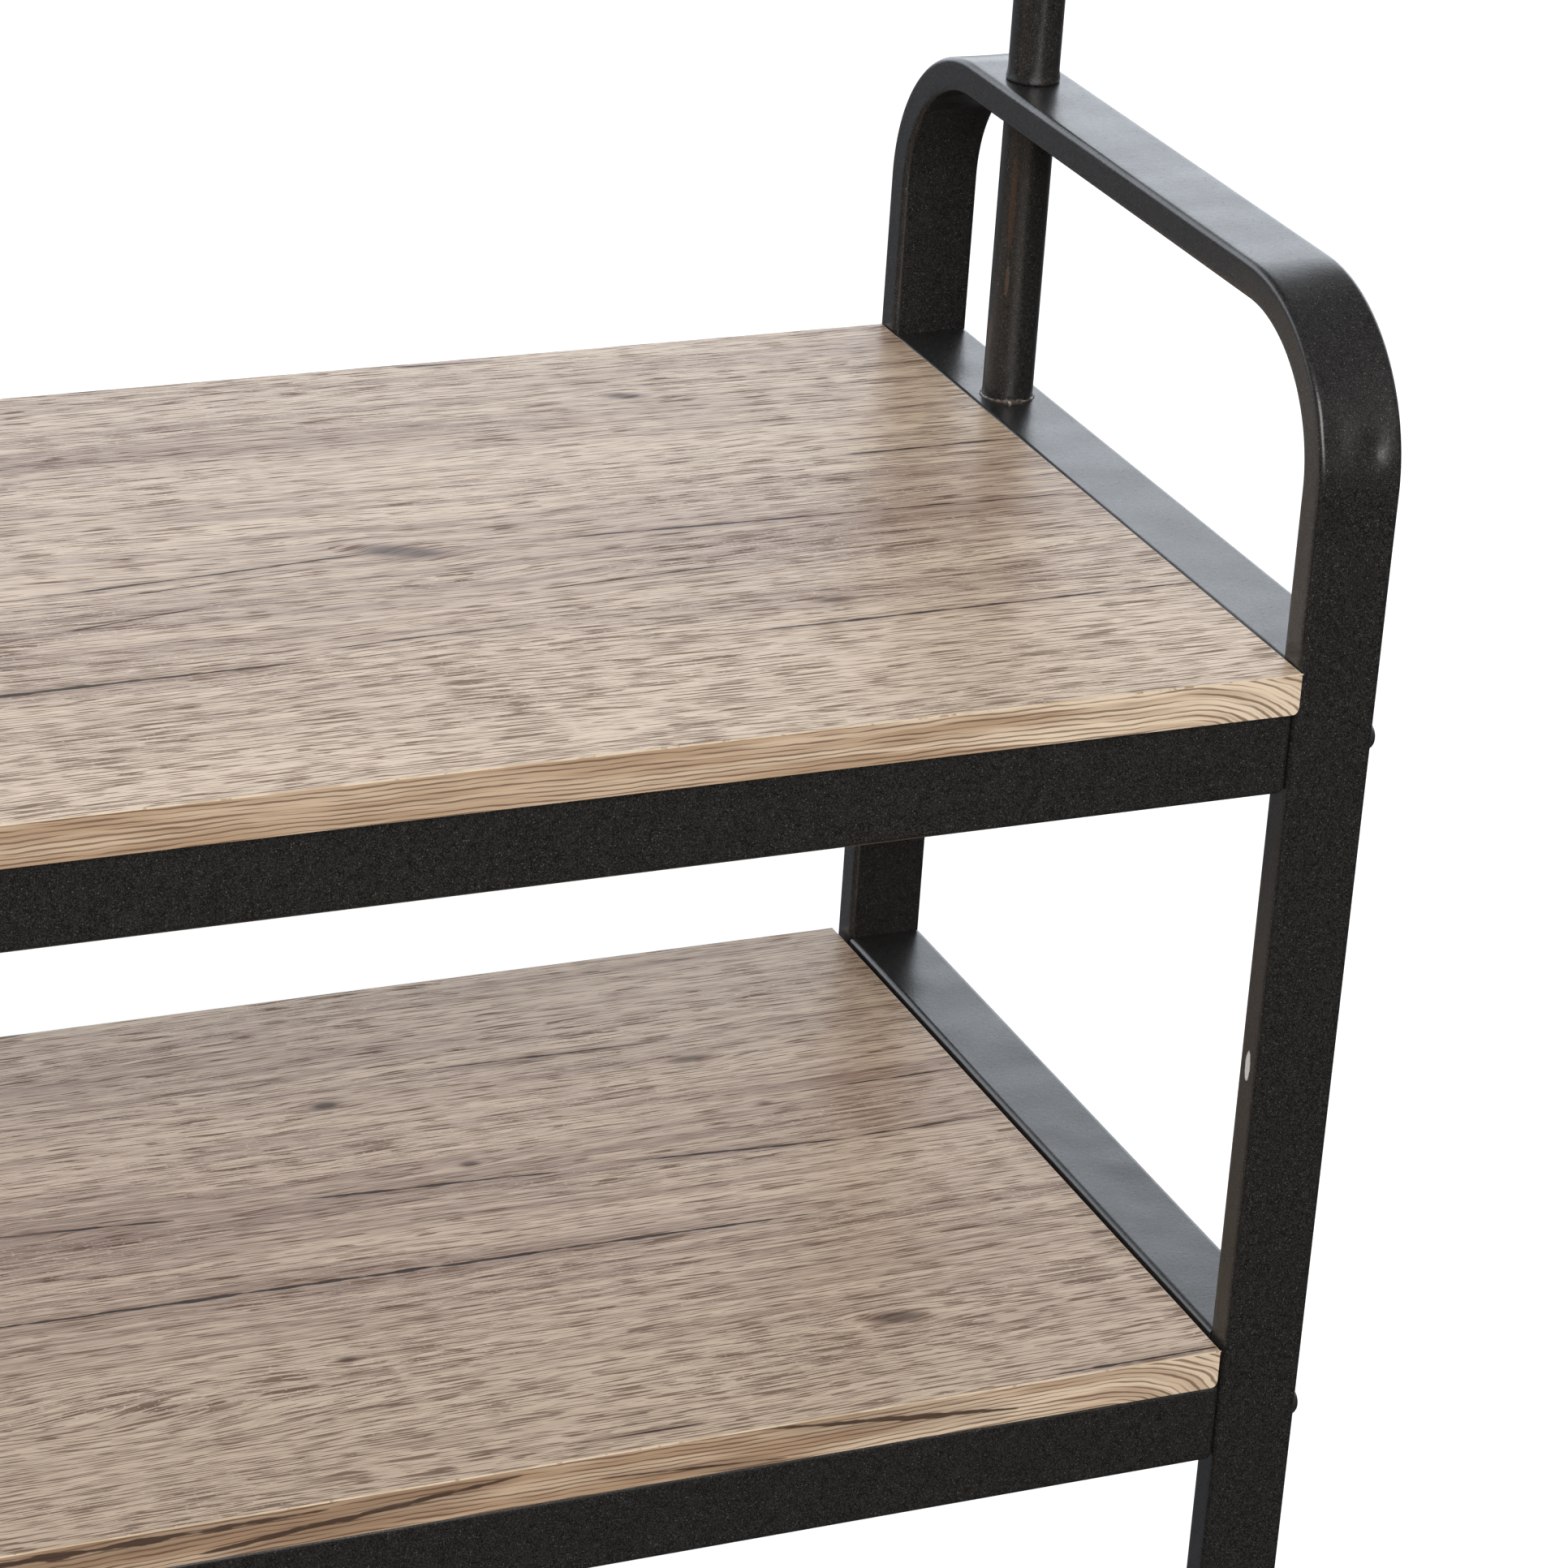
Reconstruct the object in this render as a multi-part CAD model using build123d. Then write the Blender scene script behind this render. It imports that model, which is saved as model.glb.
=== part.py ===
"""Entryway bench with a coat arch: two bent flat-tube end hoops, two laminated boards on bolted rails,
and a round-tube arch with coat hooks that plugs into the hoops. It stands on four screw-in levelling feet.

Frame: millimetres, +Z up, +X towards the right-hand hoop, +Y towards the back.
The origin is on the floor, under the middle of the bench.
"""
from build123d import *
from itertools import product
import os

# ---- overall sizes -------------------------------------------------------------------------------
WIDTH = 900.0            # outside of one hoop to the outside of the other
DEPTH = 350.0            # front of the legs to the back of the legs
SEAT_TOP = 452.0         # top face of the seat board above the floor
SHELF_DROP = 262.0       # seat board's top down to the shelf board's top
HOOP_RISE = 122.0        # seat board's top up to the hoop's top
OVERALL_HEIGHT = 1800.0  # top of the coat arch

# ---- end hoops: flat tube, wide side across the bench --------------------------------------------
HOOP_TUBE_WIDE = 31.0
HOOP_TUBE_THIN = 13.0
HOOP_BEND_OUTER = 62.0   # outside radius of both bends
TUBE_CORNER = 2.2        # outside corner radius of every flat tube
TUBE_WALL = 1.2
END_RAIL_RISE = {"seat": -1.0, "shelf": 1.0}  # top of an end rail above the board beside it

# ---- rails along the bench -----------------------------------------------------------------------
RAIL_HIGH = 31.0
RAIL_THIN = 13.0
RAIL_SETBACK = 1.0       # rail's face behind the face of the legs
END_PLATE = 4.0          # steel plate that closes each end of a rail
END_PLATE_ROUND = 2.6    # its rounded rim

# ---- boards --------------------------------------------------------------------------------------
BOARD_THICK = 15.0
BOARD_EDGE = 2.2         # rounded lower edge
BOARD_ARRIS = 0.7        # eased upper edge
SEAT_BOARD_GAP = 0.5     # between the seat board's end and the hoop
SHELF_BOARD_GAP = 2.0    # the shelf board is cut a little shorter
SEAT_OVERHANG = 3.0      # the seat board stands this far in front of the legs

# ---- round tubes of the coat arch ----------------------------------------------------------------
POST_DIAMETER = 19.0
POST_WALL = 1.2
POST_FROM_BACK = 84.0    # post axis in front of the back of the legs
ARCH_JOINT_HEIGHT = 1190.0
ARCH_BEND = 90.0         # centreline radius of the arch's corners
SPIGOT_DIAMETER = 16.4
SPIGOT_WALL = 1.5
SPIGOT_REACH = 60.0      # length of spigot in each tube

# ---- hook rail and hooks -------------------------------------------------------------------------
HOOK_RAIL_HEIGHT = 1580.0
HOOK_COUNT = 5
HOOK_PITCH = 150.0
HOOK_PLATE_WIDE = 20.0
HOOK_PLATE_HIGH = 60.0
HOOK_PLATE_THICK = 2.5
HOOK_ROD = 6.0
HOOK_BALL = 11.0
HOOK_SCREW_OFFSET = 9.0  # screws above and below the middle of the rail
HOOK_UPPER = (21.0, 46.0, 30.0)   # upper prong: start above the rail's middle, reach, rise
HOOK_LOWER = (-21.0, 27.0, 16.0)  # lower prong, the same
HOOK_RAIL_SHORT = 10.0   # each end of the hook rail stops this far before the axis of the arch's leg

# ---- fasteners -----------------------------------------------------------------------------------
BOLT_SHANK = 5.9         # M6
BOLT_HOLE = 6.5
BOLT_HEAD = 10.5
BOLT_HEAD_HIGH = 3.3
BOLT_SOCKET = 4.0        # hexagon key across flats
NUT_SQUARE = 10.0
NUT_THICK = 5.0
NUT_BORE = 6.0
BOARD_SCREW = 4.0
BOARD_SCREW_BITE = 9.0   # length in the board
BOARD_SCREW_HOLE = 4.5
DRIVER_HOLE = 8.6        # way in through a rail's lower wall for the screw and the driver
PAN_HEAD = 8.0
PAN_HEAD_HIGH = 2.6
LOCK_SCREW = 5.0         # M5, locks a spigot joint from behind
HOOK_SCREW = 4.0

# ---- feet ----------------------------------------------------------------------------------------
PAD_DIAMETER = 19.0
PAD_HIGH = 7.0
FOOT_GAP = 6.0           # bare thread between pad and plug
PLUG_FLANGE = 2.5
PLUG_BODY = 34.0
PLUG_SLACK = 0.1         # plug to tube wall, each side
STEM_DIAMETER = 6.0      # M6
STEM_BORE = 6.1
STEM_IN_PLUG = 22.0

# ---- worked out from the above -------------------------------------------------------------------
HALF_WIDTH = WIDTH / 2
HALF_DEPTH = DEPTH / 2
HOOP_X = HALF_WIDTH - HOOP_TUBE_WIDE / 2          # middle of a hoop's tube
HOOP_INNER_X = HALF_WIDTH - HOOP_TUBE_WIDE        # inner face of a hoop
LEG_Y = HALF_DEPTH - HOOP_TUBE_THIN / 2           # middle of a leg
HOOP_TOP = SEAT_TOP + HOOP_RISE
LEG_BOTTOM = PAD_HIGH + FOOT_GAP + PLUG_FLANGE
SHELF_TOP = SEAT_TOP - SHELF_DROP
RAIL_Y = HALF_DEPTH - RAIL_SETBACK - RAIL_THIN / 2
RAIL_SPAN = 2 * HOOP_INNER_X
POST_RADIUS = POST_DIAMETER / 2
POST_Y = HALF_DEPTH - POST_FROM_BACK
HOOK_RAIL_FACE = POST_Y - RAIL_THIN / 2
HOOK_XS = [(i - (HOOK_COUNT - 1) / 2) * HOOK_PITCH for i in range(HOOK_COUNT)]
SIDES = {"left": -1, "right": 1}
LEVELS = {"seat": SEAT_TOP, "shelf": SHELF_TOP}
ROWS = {"front": -1, "back": 1}


def rail_axis_height(level_top):
    """Height of a rail's middle under the board whose top is at level_top."""
    return level_top - BOARD_THICK - RAIL_HIGH / 2


def flat_section(wide, thin, wall=0.0):
    """Outline of a flat tube, drawn in by wall."""
    return RectangleRounded(wide - 2 * wall, thin - 2 * wall, TUBE_CORNER - wall)


def flat_tube(plane, wide, thin, length):
    """Straight flat tube that runs along the plane's normal, its wide side along the plane's X."""
    outer = extrude(plane * flat_section(wide, thin), amount=length)
    inner = extrude(plane * flat_section(wide, thin, TUBE_WALL), amount=length)
    return outer - inner


def round_tube(foot, length, diameter, wall):
    """Upright round tube with its lower end centred on foot."""
    ring = Plane(foot) * (Circle(diameter / 2) - Circle(diameter / 2 - wall))
    return extrude(ring, amount=length)


def rod(start, direction, length, diameter):
    """Solid round bar from start."""
    return extrude(Plane(start, z_dir=direction) * Circle(diameter / 2), amount=length)


# ---- end frames ----------------------------------------------------------------------------------
def hoop_path(x):
    """Centreline of a hoop: up the front leg, over the top and down the back leg."""
    top = HOOP_TOP - HOOP_TUBE_THIN / 2
    corners = [(x, -LEG_Y, LEG_BOTTOM), (x, -LEG_Y, top), (x, LEG_Y, top), (x, LEG_Y, LEG_BOTTOM)]
    return FilletPolyline(*corners, radius=HOOP_BEND_OUTER - HOOP_TUBE_THIN / 2)


def end_hoop(side):
    """Bent flat tube: both legs and the arm rest, drilled for the rail bolts and the spigot."""
    x = side * HOOP_X
    path = hoop_path(x)
    start = Plane((x, -LEG_Y, LEG_BOTTOM), x_dir=(1, 0, 0), z_dir=(0, 0, 1))
    outer = sweep(start * flat_section(HOOP_TUBE_WIDE, HOOP_TUBE_THIN), path=path)
    inner = sweep(start * flat_section(HOOP_TUBE_WIDE, HOOP_TUBE_THIN, TUBE_WALL), path=path)
    hoop = outer - inner
    for level_top in LEVELS.values():
        for row in ROWS.values():
            hole_at = (x - HOOP_TUBE_WIDE, row * RAIL_Y, rail_axis_height(level_top))
            hoop -= rod(hole_at, (1, 0, 0), 2 * HOOP_TUBE_WIDE, BOLT_HOLE)
    spigot_hole_at = (x, POST_Y, HOOP_TOP - 2 * HOOP_TUBE_THIN)
    hoop -= rod(spigot_hole_at, (0, 0, 1), 3 * HOOP_TUBE_THIN, SPIGOT_DIAMETER + 2 * PLUG_SLACK)
    return hoop


def end_rail(side, level):
    """Flat tube laid wide side up between the two legs of a hoop."""
    middle_z = LEVELS[level] + END_RAIL_RISE[level] - HOOP_TUBE_THIN / 2
    length = 2 * (HALF_DEPTH - HOOP_TUBE_THIN)
    start = Plane((side * HOOP_X, -length / 2, middle_z), x_dir=(1, 0, 0), z_dir=(0, 1, 0))
    return flat_tube(start, HOOP_TUBE_WIDE, HOOP_TUBE_THIN, length)


def post_socket(side):
    """Round tube welded between the seat's end rail and the underside of the hoop."""
    foot_z = SEAT_TOP + END_RAIL_RISE["seat"]
    length = HOOP_TOP - HOOP_TUBE_THIN - foot_z
    return round_tube((side * HOOP_X, POST_Y, foot_z), length, POST_DIAMETER, POST_WALL)


# ---- rails ---------------------------------------------------------------------------------------
def long_rail(row, level_top):
    """Flat tube along the bench, between the end plates, drilled for the board's screws."""
    length = RAIL_SPAN - 2 * END_PLATE
    z = rail_axis_height(level_top)
    start = Plane((-length / 2, row * RAIL_Y, z), x_dir=(0, 0, 1), z_dir=(1, 0, 0))
    rail = flat_tube(start, RAIL_HIGH, RAIL_THIN, length)
    for x in board_screw_places():
        rail -= rod((x, row * RAIL_Y, z), (0, 0, 1), RAIL_HIGH, BOARD_SCREW_HOLE)
        rail -= rod((x, row * RAIL_Y, z), (0, 0, -1), RAIL_HIGH, DRIVER_HOLE)
    return rail


def end_plate(side, row, level_top):
    """Plate that closes a rail's end, with a rounded rim where it meets the leg."""
    z = rail_axis_height(level_top)
    start = Plane((side * (HOOP_INNER_X - END_PLATE), row * RAIL_Y, z), x_dir=(0, 0, 1), z_dir=(side, 0, 0))
    plate = extrude(start * flat_section(RAIL_HIGH, RAIL_THIN), amount=END_PLATE)
    rim = plate.faces().sort_by(Axis.X)[-1 if side > 0 else 0].edges()
    plate = fillet(rim, radius=END_PLATE_ROUND)
    hole_at = (side * (HOOP_INNER_X - 2 * END_PLATE), row * RAIL_Y, z)
    return plate - rod(hole_at, (side, 0, 0), 3 * END_PLATE, NUT_BORE)


def weld_nut(side, row, level_top):
    """Square nut behind an end plate, inside the rail."""
    x = side * (HOOP_INNER_X - END_PLATE - NUT_THICK / 2)
    z = rail_axis_height(level_top)
    nut = Pos(x, row * RAIL_Y, z) * Box(NUT_THICK, NUT_SQUARE, NUT_SQUARE)
    return nut - rod((x - NUT_THICK, row * RAIL_Y, z), (1, 0, 0), 2 * NUT_THICK, NUT_BORE)


def button_bolt(seat_at, direction, length):
    """M6 button-head bolt with its head's flat side at seat_at and its shank along direction."""
    seat = Plane(seat_at, z_dir=direction)
    shank = extrude(seat * Circle(BOLT_SHANK / 2), amount=length)
    head = extrude(seat * Circle(BOLT_HEAD / 2), amount=-BOLT_HEAD_HIGH)
    outer_rim = head.faces().sort_by(Axis(seat_at, direction))[0].edges()
    head = fillet(outer_rim, radius=BOLT_HEAD_HIGH * 0.85)
    hexagon = seat.offset(-BOLT_HEAD_HIGH) * RegularPolygon(BOLT_SOCKET / 2, 6, major_radius=False)
    socket = extrude(hexagon, amount=BOLT_HEAD_HIGH * 0.6)
    return head + shank - socket


def frame_bolts():
    """Eight bolts, from outside each leg into the nut at the rail's end."""
    length = HOOP_TUBE_WIDE + END_PLATE + NUT_THICK + 2
    return [
        button_bolt((side * HALF_WIDTH, row * RAIL_Y, rail_axis_height(top)), (-side, 0, 0), length)
        for side, row, top in product(SIDES.values(), ROWS.values(), LEVELS.values())
    ]


# ---- boards --------------------------------------------------------------------------------------
def board_screw_places():
    """Positions along the bench of the screws in one rail."""
    return [-HOOP_INNER_X * 0.8, 0.0, HOOP_INNER_X * 0.8]


def board(level_top, gap, forward=0.0):
    """Laminated board between the hoops, as deep as the legs, with pilot holes in its underside."""
    panel = Box(RAIL_SPAN - 2 * gap, DEPTH, BOARD_THICK)
    panel = Pos(0, -forward, level_top - BOARD_THICK / 2) * panel
    lower_rim = panel.faces().sort_by(Axis.Z)[0].edges()
    panel = fillet(lower_rim.filter_by(Axis.Y), radius=BOARD_EDGE)
    upper_rim = panel.faces().sort_by(Axis.Z)[-1].edges()
    panel = fillet(upper_rim, radius=BOARD_ARRIS)
    for x in board_screw_places():
        for row in ROWS.values():
            start = (x, row * RAIL_Y, level_top - BOARD_THICK)
            panel -= rod(start, (0, 0, 1), BOARD_SCREW_BITE, BOARD_SCREW)
    return panel


def pan_screw(head_at, direction, length, diameter):
    """Pan-head screw with its head's flat side at head_at and its shank along direction."""
    seat = Plane(head_at, z_dir=direction)
    head = extrude(seat * Circle(PAN_HEAD / 2), amount=-PAN_HEAD_HIGH)
    top_rim = head.faces().sort_by(Axis(head_at, direction))[0].edges()
    head = fillet(top_rim, radius=PAN_HEAD_HIGH * 0.6)
    slot = Rectangle(PAN_HEAD * 0.55, 0.9) + Rectangle(0.9, PAN_HEAD * 0.55)
    cross = extrude(seat.offset(-PAN_HEAD_HIGH) * slot, amount=1.2)
    return head + extrude(seat * Circle(diameter / 2), amount=length) - cross


def board_screws(level_top):
    """Six screws into the board, their heads inside the rails against the upper wall."""
    head_z = level_top - BOARD_THICK - TUBE_WALL
    return [
        pan_screw((x, row * RAIL_Y, head_z), (0, 0, 1), TUBE_WALL + BOARD_SCREW_BITE, BOARD_SCREW)
        for x in board_screw_places() for row in ROWS.values()
    ]


# ---- coat arch -----------------------------------------------------------------------------------
def lock_screw_heights():
    """Heights of the screws that lock the spigots in the tubes above them."""
    return [HOOP_TOP + SPIGOT_REACH / 2, ARCH_JOINT_HEIGHT + SPIGOT_REACH / 2]


def lock_screw_hole(x, z):
    """Drill for one locking screw, from behind to the post's axis."""
    return rod((x, POST_Y, z), (0, 1, 0), 2 * POST_DIAMETER, LOCK_SCREW)


def upright(side):
    """Straight round tube from the hoop up to the arch."""
    x = side * HOOP_X
    tube = round_tube((x, POST_Y, HOOP_TOP), ARCH_JOINT_HEIGHT - HOOP_TOP, POST_DIAMETER, POST_WALL)
    return tube - lock_screw_hole(x, lock_screw_heights()[0])


def coat_arch():
    """Round tube bent twice: the top of both uprights and the hanging rail between them."""
    foot, top = ARCH_JOINT_HEIGHT, OVERALL_HEIGHT - POST_RADIUS
    route = [(-HOOP_X, foot), (-HOOP_X, top), (HOOP_X, top), (HOOP_X, foot)]
    path = FilletPolyline(*[(x, POST_Y, z) for x, z in route], radius=ARCH_BEND)
    start = Plane((-HOOP_X, POST_Y, foot))
    arch = sweep(start * Circle(POST_RADIUS), path=path)
    arch -= sweep(start * Circle(POST_RADIUS - POST_WALL), path=path)
    for x in (-HOOP_X, HOOP_X):
        arch -= lock_screw_hole(x, lock_screw_heights()[1])
        arch -= rod((x - POST_DIAMETER, POST_Y, HOOK_RAIL_HEIGHT), (1, 0, 0), 2 * POST_DIAMETER, BOLT_HOLE)
    return arch


def spigot(side, joint_z):
    """Short tube inside a joint, half in the tube below and half in the tube above."""
    x = side * HOOP_X
    tube = round_tube((x, POST_Y, joint_z - SPIGOT_REACH), 2 * SPIGOT_REACH, SPIGOT_DIAMETER, SPIGOT_WALL)
    return tube - lock_screw_hole(x, joint_z + SPIGOT_REACH / 2)


def lock_screws():
    """Four short screws from behind, one through each tube into its spigot."""
    grip = POST_WALL + SPIGOT_WALL + 1.5
    return [
        pan_screw((side * HOOP_X, POST_Y + POST_RADIUS, z), (0, -1, 0), grip, LOCK_SCREW - 0.1)
        for side in SIDES.values() for z in lock_screw_heights()
    ]


# ---- hook rail and hooks -------------------------------------------------------------------------
def hook_rail():
    """Flat tube between the arch's legs, wide side to the front, drilled for the hook screws."""
    length = 2 * (HOOP_X - HOOK_RAIL_SHORT)
    start = Plane((-length / 2, POST_Y, HOOK_RAIL_HEIGHT), x_dir=(0, 0, 1), z_dir=(1, 0, 0))
    rail = flat_tube(start, HOOP_TUBE_WIDE, RAIL_THIN, length)
    for x in HOOK_XS:
        for dz in (-HOOK_SCREW_OFFSET, HOOK_SCREW_OFFSET):
            at = (x, HOOK_RAIL_FACE - 1, HOOK_RAIL_HEIGHT + dz)
            rail -= rod(at, (0, 1, 0), RAIL_THIN / 2, HOOK_SCREW)
    return rail - arch_leg_clearance()


def arch_leg_clearance():
    """The space of both legs of the arch beside the hook rail."""
    z = HOOK_RAIL_HEIGHT - HOOP_TUBE_WIDE
    return [rod((x, POST_Y, z), (0, 0, 1), 2 * HOOP_TUBE_WIDE, POST_DIAMETER) for x in (-HOOP_X, HOOP_X)]


def hook_rail_end(side):
    """Block in the hook rail's end, hollowed to sit against the arch's leg and threaded for its bolt."""
    section = flat_section(HOOP_TUBE_WIDE, RAIL_THIN, TUBE_WALL + PLUG_SLACK)
    length = 2 * HOOK_RAIL_SHORT
    start = Plane((side * (HOOP_X - length), POST_Y, HOOK_RAIL_HEIGHT), x_dir=(0, 0, 1), z_dir=(side, 0, 0))
    block = extrude(start * section, amount=length) - arch_leg_clearance()
    bore_from = (side * (HOOP_X - 2 * length), POST_Y, HOOK_RAIL_HEIGHT)
    return block - rod(bore_from, (side, 0, 0), 3 * length, NUT_BORE)


def hook_rail_bolts():
    """Two bolts, from outside each leg of the arch into the hook rail's end."""
    outside = HOOP_X + POST_RADIUS
    length = POST_DIAMETER + HOOK_RAIL_SHORT - 2
    return [
        button_bolt((side * outside, POST_Y, HOOK_RAIL_HEIGHT), (-side, 0, 0), length)
        for side in SIDES.values()
    ]


def hook_prong(x, above_middle, reach, rise):
    """Round bar that leaves the plate, dips and turns up, with a ball on its tip."""
    start_z = HOOK_RAIL_HEIGHT + above_middle
    face = HOOK_RAIL_FACE - HOOK_PLATE_THICK
    tip = (x, face - reach, start_z + rise)
    corners = [(x, face + 1, start_z), (x, face - reach, start_z - reach * 0.25), tip]
    path = FilletPolyline(*corners, radius=min(reach, rise) * 0.55)
    bar = sweep(Plane(path @ 0, z_dir=path % 0) * Circle(HOOK_ROD / 2), path=path)
    return bar + Pos(*tip) * Sphere(HOOK_BALL / 2)


def coat_hook(x):
    """Cast double hook: a screwed plate with a long upper prong and a short lower one."""
    face = Plane((x, HOOK_RAIL_FACE, HOOK_RAIL_HEIGHT), x_dir=(1, 0, 0), z_dir=(0, -1, 0))
    outline = RectangleRounded(HOOK_PLATE_WIDE, HOOK_PLATE_HIGH, HOOK_PLATE_WIDE * 0.45)
    hook = extrude(face * outline, amount=HOOK_PLATE_THICK)
    hook += hook_prong(x, *HOOK_UPPER)
    hook += hook_prong(x, *HOOK_LOWER)
    for dz in (-HOOK_SCREW_OFFSET, HOOK_SCREW_OFFSET):
        hole_at = (x, HOOK_RAIL_FACE + 1, HOOK_RAIL_HEIGHT + dz)
        hook -= rod(hole_at, (0, -1, 0), 2 * HOOK_PLATE_THICK, HOOK_SCREW)
    return hook


def hook_screws():
    """Two screws through each hook's plate into the hook rail."""
    head_y = HOOK_RAIL_FACE - HOOK_PLATE_THICK
    grip = HOOK_PLATE_THICK + TUBE_WALL + 2
    return [
        pan_screw((x, head_y, HOOK_RAIL_HEIGHT + dz), (0, 1, 0), grip, HOOK_SCREW - 0.1)
        for x in HOOK_XS for dz in (-HOOK_SCREW_OFFSET, HOOK_SCREW_OFFSET)
    ]


# ---- feet ----------------------------------------------------------------------------------------
def leg_plug(side, row):
    """Nylon plug in the bottom of a leg, with a flange and a threaded bore for the foot."""
    x, y = side * HOOP_X, row * LEG_Y
    flange_plane = Plane((x, y, LEG_BOTTOM - PLUG_FLANGE))
    flange = extrude(flange_plane * flat_section(HOOP_TUBE_WIDE, HOOP_TUBE_THIN), amount=PLUG_FLANGE)
    core = flat_section(HOOP_TUBE_WIDE, HOOP_TUBE_THIN, TUBE_WALL + PLUG_SLACK)
    body = extrude(Plane((x, y, LEG_BOTTOM)) * core, amount=PLUG_BODY)
    bore_from = (x, y, LEG_BOTTOM - 2 * PLUG_FLANGE)
    return flange + body - rod(bore_from, (0, 0, 1), PLUG_BODY, STEM_BORE)


def foot_pad(side, row):
    """Round nylon pad, wider at the floor than at the top."""
    x, y = side * HOOP_X, row * LEG_Y
    pad = Pos(x, y, PAD_HIGH / 2) * Cylinder(PAD_DIAMETER / 2, PAD_HIGH)
    pad = chamfer(pad.faces().sort_by(Axis.Z)[-1].edges(), length=PAD_HIGH * 0.45, length2=PAD_HIGH * 0.4)
    pad = fillet(pad.faces().sort_by(Axis.Z)[0].edges(), radius=0.6)
    return pad - rod((x, y, PAD_HIGH / 2), (0, 0, 1), PAD_HIGH, STEM_DIAMETER)


def foot_stem(side, row):
    """Threaded stem from inside the pad up into the plug."""
    length = PAD_HIGH / 2 + FOOT_GAP + PLUG_FLANGE + STEM_IN_PLUG
    return rod((side * HOOP_X, row * LEG_Y, PAD_HIGH / 2), (0, 0, 1), length, STEM_DIAMETER)


# ---- every node ----------------------------------------------------------------------------------
def all_nodes():
    """Node name to its solids."""
    corners = list(product(SIDES.values(), ROWS.values(), LEVELS.values()))
    nodes = {
        "rail_end_plates": [end_plate(*c) for c in corners],
        "rail_weld_nuts": [weld_nut(*c) for c in corners],
        "frame_bolts": frame_bolts(),
        "seat_board": [board(SEAT_TOP, SEAT_BOARD_GAP, SEAT_OVERHANG)],
        "shelf_board": [board(SHELF_TOP, SHELF_BOARD_GAP)],
        "coat_arch": [coat_arch()],
        "tube_lock_screws": lock_screws(),
        "hook_rail": [hook_rail()],
        "hook_rail_bolts": hook_rail_bolts(),
        "hook_screws": hook_screws(),
    }
    for level, top in LEVELS.items():
        nodes[f"{level}_board_screws"] = board_screws(top)
        for name, row in ROWS.items():
            nodes[f"{level}_{name}_rail"] = [long_rail(row, top)]
    for name, side in SIDES.items():
        nodes[f"end_hoop_{name}"] = [end_hoop(side)]
        nodes[f"seat_end_rail_{name}"] = [end_rail(side, "seat")]
        nodes[f"shelf_end_rail_{name}"] = [end_rail(side, "shelf")]
        nodes[f"post_socket_{name}"] = [post_socket(side)]
        nodes[f"upright_{name}"] = [upright(side)]
        nodes[f"hoop_spigot_{name}"] = [spigot(side, HOOP_TOP)]
        nodes[f"arch_spigot_{name}"] = [spigot(side, ARCH_JOINT_HEIGHT)]
        nodes[f"hook_rail_end_{name}"] = [hook_rail_end(side)]
        for row_name, row in ROWS.items():
            nodes[f"leg_plug_{row_name}_{name}"] = [leg_plug(side, row)]
            nodes[f"foot_pad_{row_name}_{name}"] = [foot_pad(side, row)]
            nodes[f"foot_stem_{row_name}_{name}"] = [foot_stem(side, row)]
    for i, x in enumerate(HOOK_XS, start=1):
        nodes[f"coat_hook_{i}"] = [coat_hook(x)]
    return nodes


os.makedirs("parts", exist_ok=True)
for node_name, shapes in all_nodes().items():
    solids = [solid for shape in shapes for solid in shape.solids()]
    export_step(Compound(solids), f"parts/{node_name}.step")
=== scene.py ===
"""Looks of the entryway bench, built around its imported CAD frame. Metres, +Z up, +X right, +Y back."""
import random
from math import cos, exp, pi, radians, sin

import bmesh
import bpy
from mathutils import Matrix, Vector, noise


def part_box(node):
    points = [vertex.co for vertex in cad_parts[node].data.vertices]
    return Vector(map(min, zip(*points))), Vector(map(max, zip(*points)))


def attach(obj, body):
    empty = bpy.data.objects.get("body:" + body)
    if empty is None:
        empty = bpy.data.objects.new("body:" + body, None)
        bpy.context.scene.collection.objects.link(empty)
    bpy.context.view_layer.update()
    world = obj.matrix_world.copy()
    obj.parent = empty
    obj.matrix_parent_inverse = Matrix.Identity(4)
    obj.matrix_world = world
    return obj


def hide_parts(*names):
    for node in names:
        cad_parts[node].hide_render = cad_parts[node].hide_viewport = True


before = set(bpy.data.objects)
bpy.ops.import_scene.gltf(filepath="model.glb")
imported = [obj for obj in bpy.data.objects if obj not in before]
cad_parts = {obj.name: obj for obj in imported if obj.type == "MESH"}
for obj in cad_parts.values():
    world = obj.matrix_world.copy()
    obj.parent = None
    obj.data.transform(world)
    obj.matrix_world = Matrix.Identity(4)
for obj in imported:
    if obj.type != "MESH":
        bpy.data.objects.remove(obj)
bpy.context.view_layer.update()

MM = 0.001
SIDES = ("left", "right")
TUBE_CORNER = 2.2 * MM      # outside corner radius of the flat tubes
HOOP_BEND = 62 * MM         # outside radius of the hoops' bends
POST_RADIUS = 9.5 * MM
BOARD_LOWER_ROUND = 2.4 * MM
BOARD_ARRIS = 0.45 * MM
BAND_ARRIS = 0.3 * MM


# ---- shader building -----------------------------------------------------------------------------
def srgb(red, green, blue):
    """Linear colour from an 8-bit one."""
    def linear(value):
        value /= 255
        return value / 12.92 if value <= 0.04045 else ((value + 0.055) / 1.055) ** 2.4
    return linear(red), linear(green), linear(blue), 1.0


def faint(colour, strength):
    """That colour with a mark's strength as its fourth value."""
    return (*colour[:3], strength)


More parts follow.
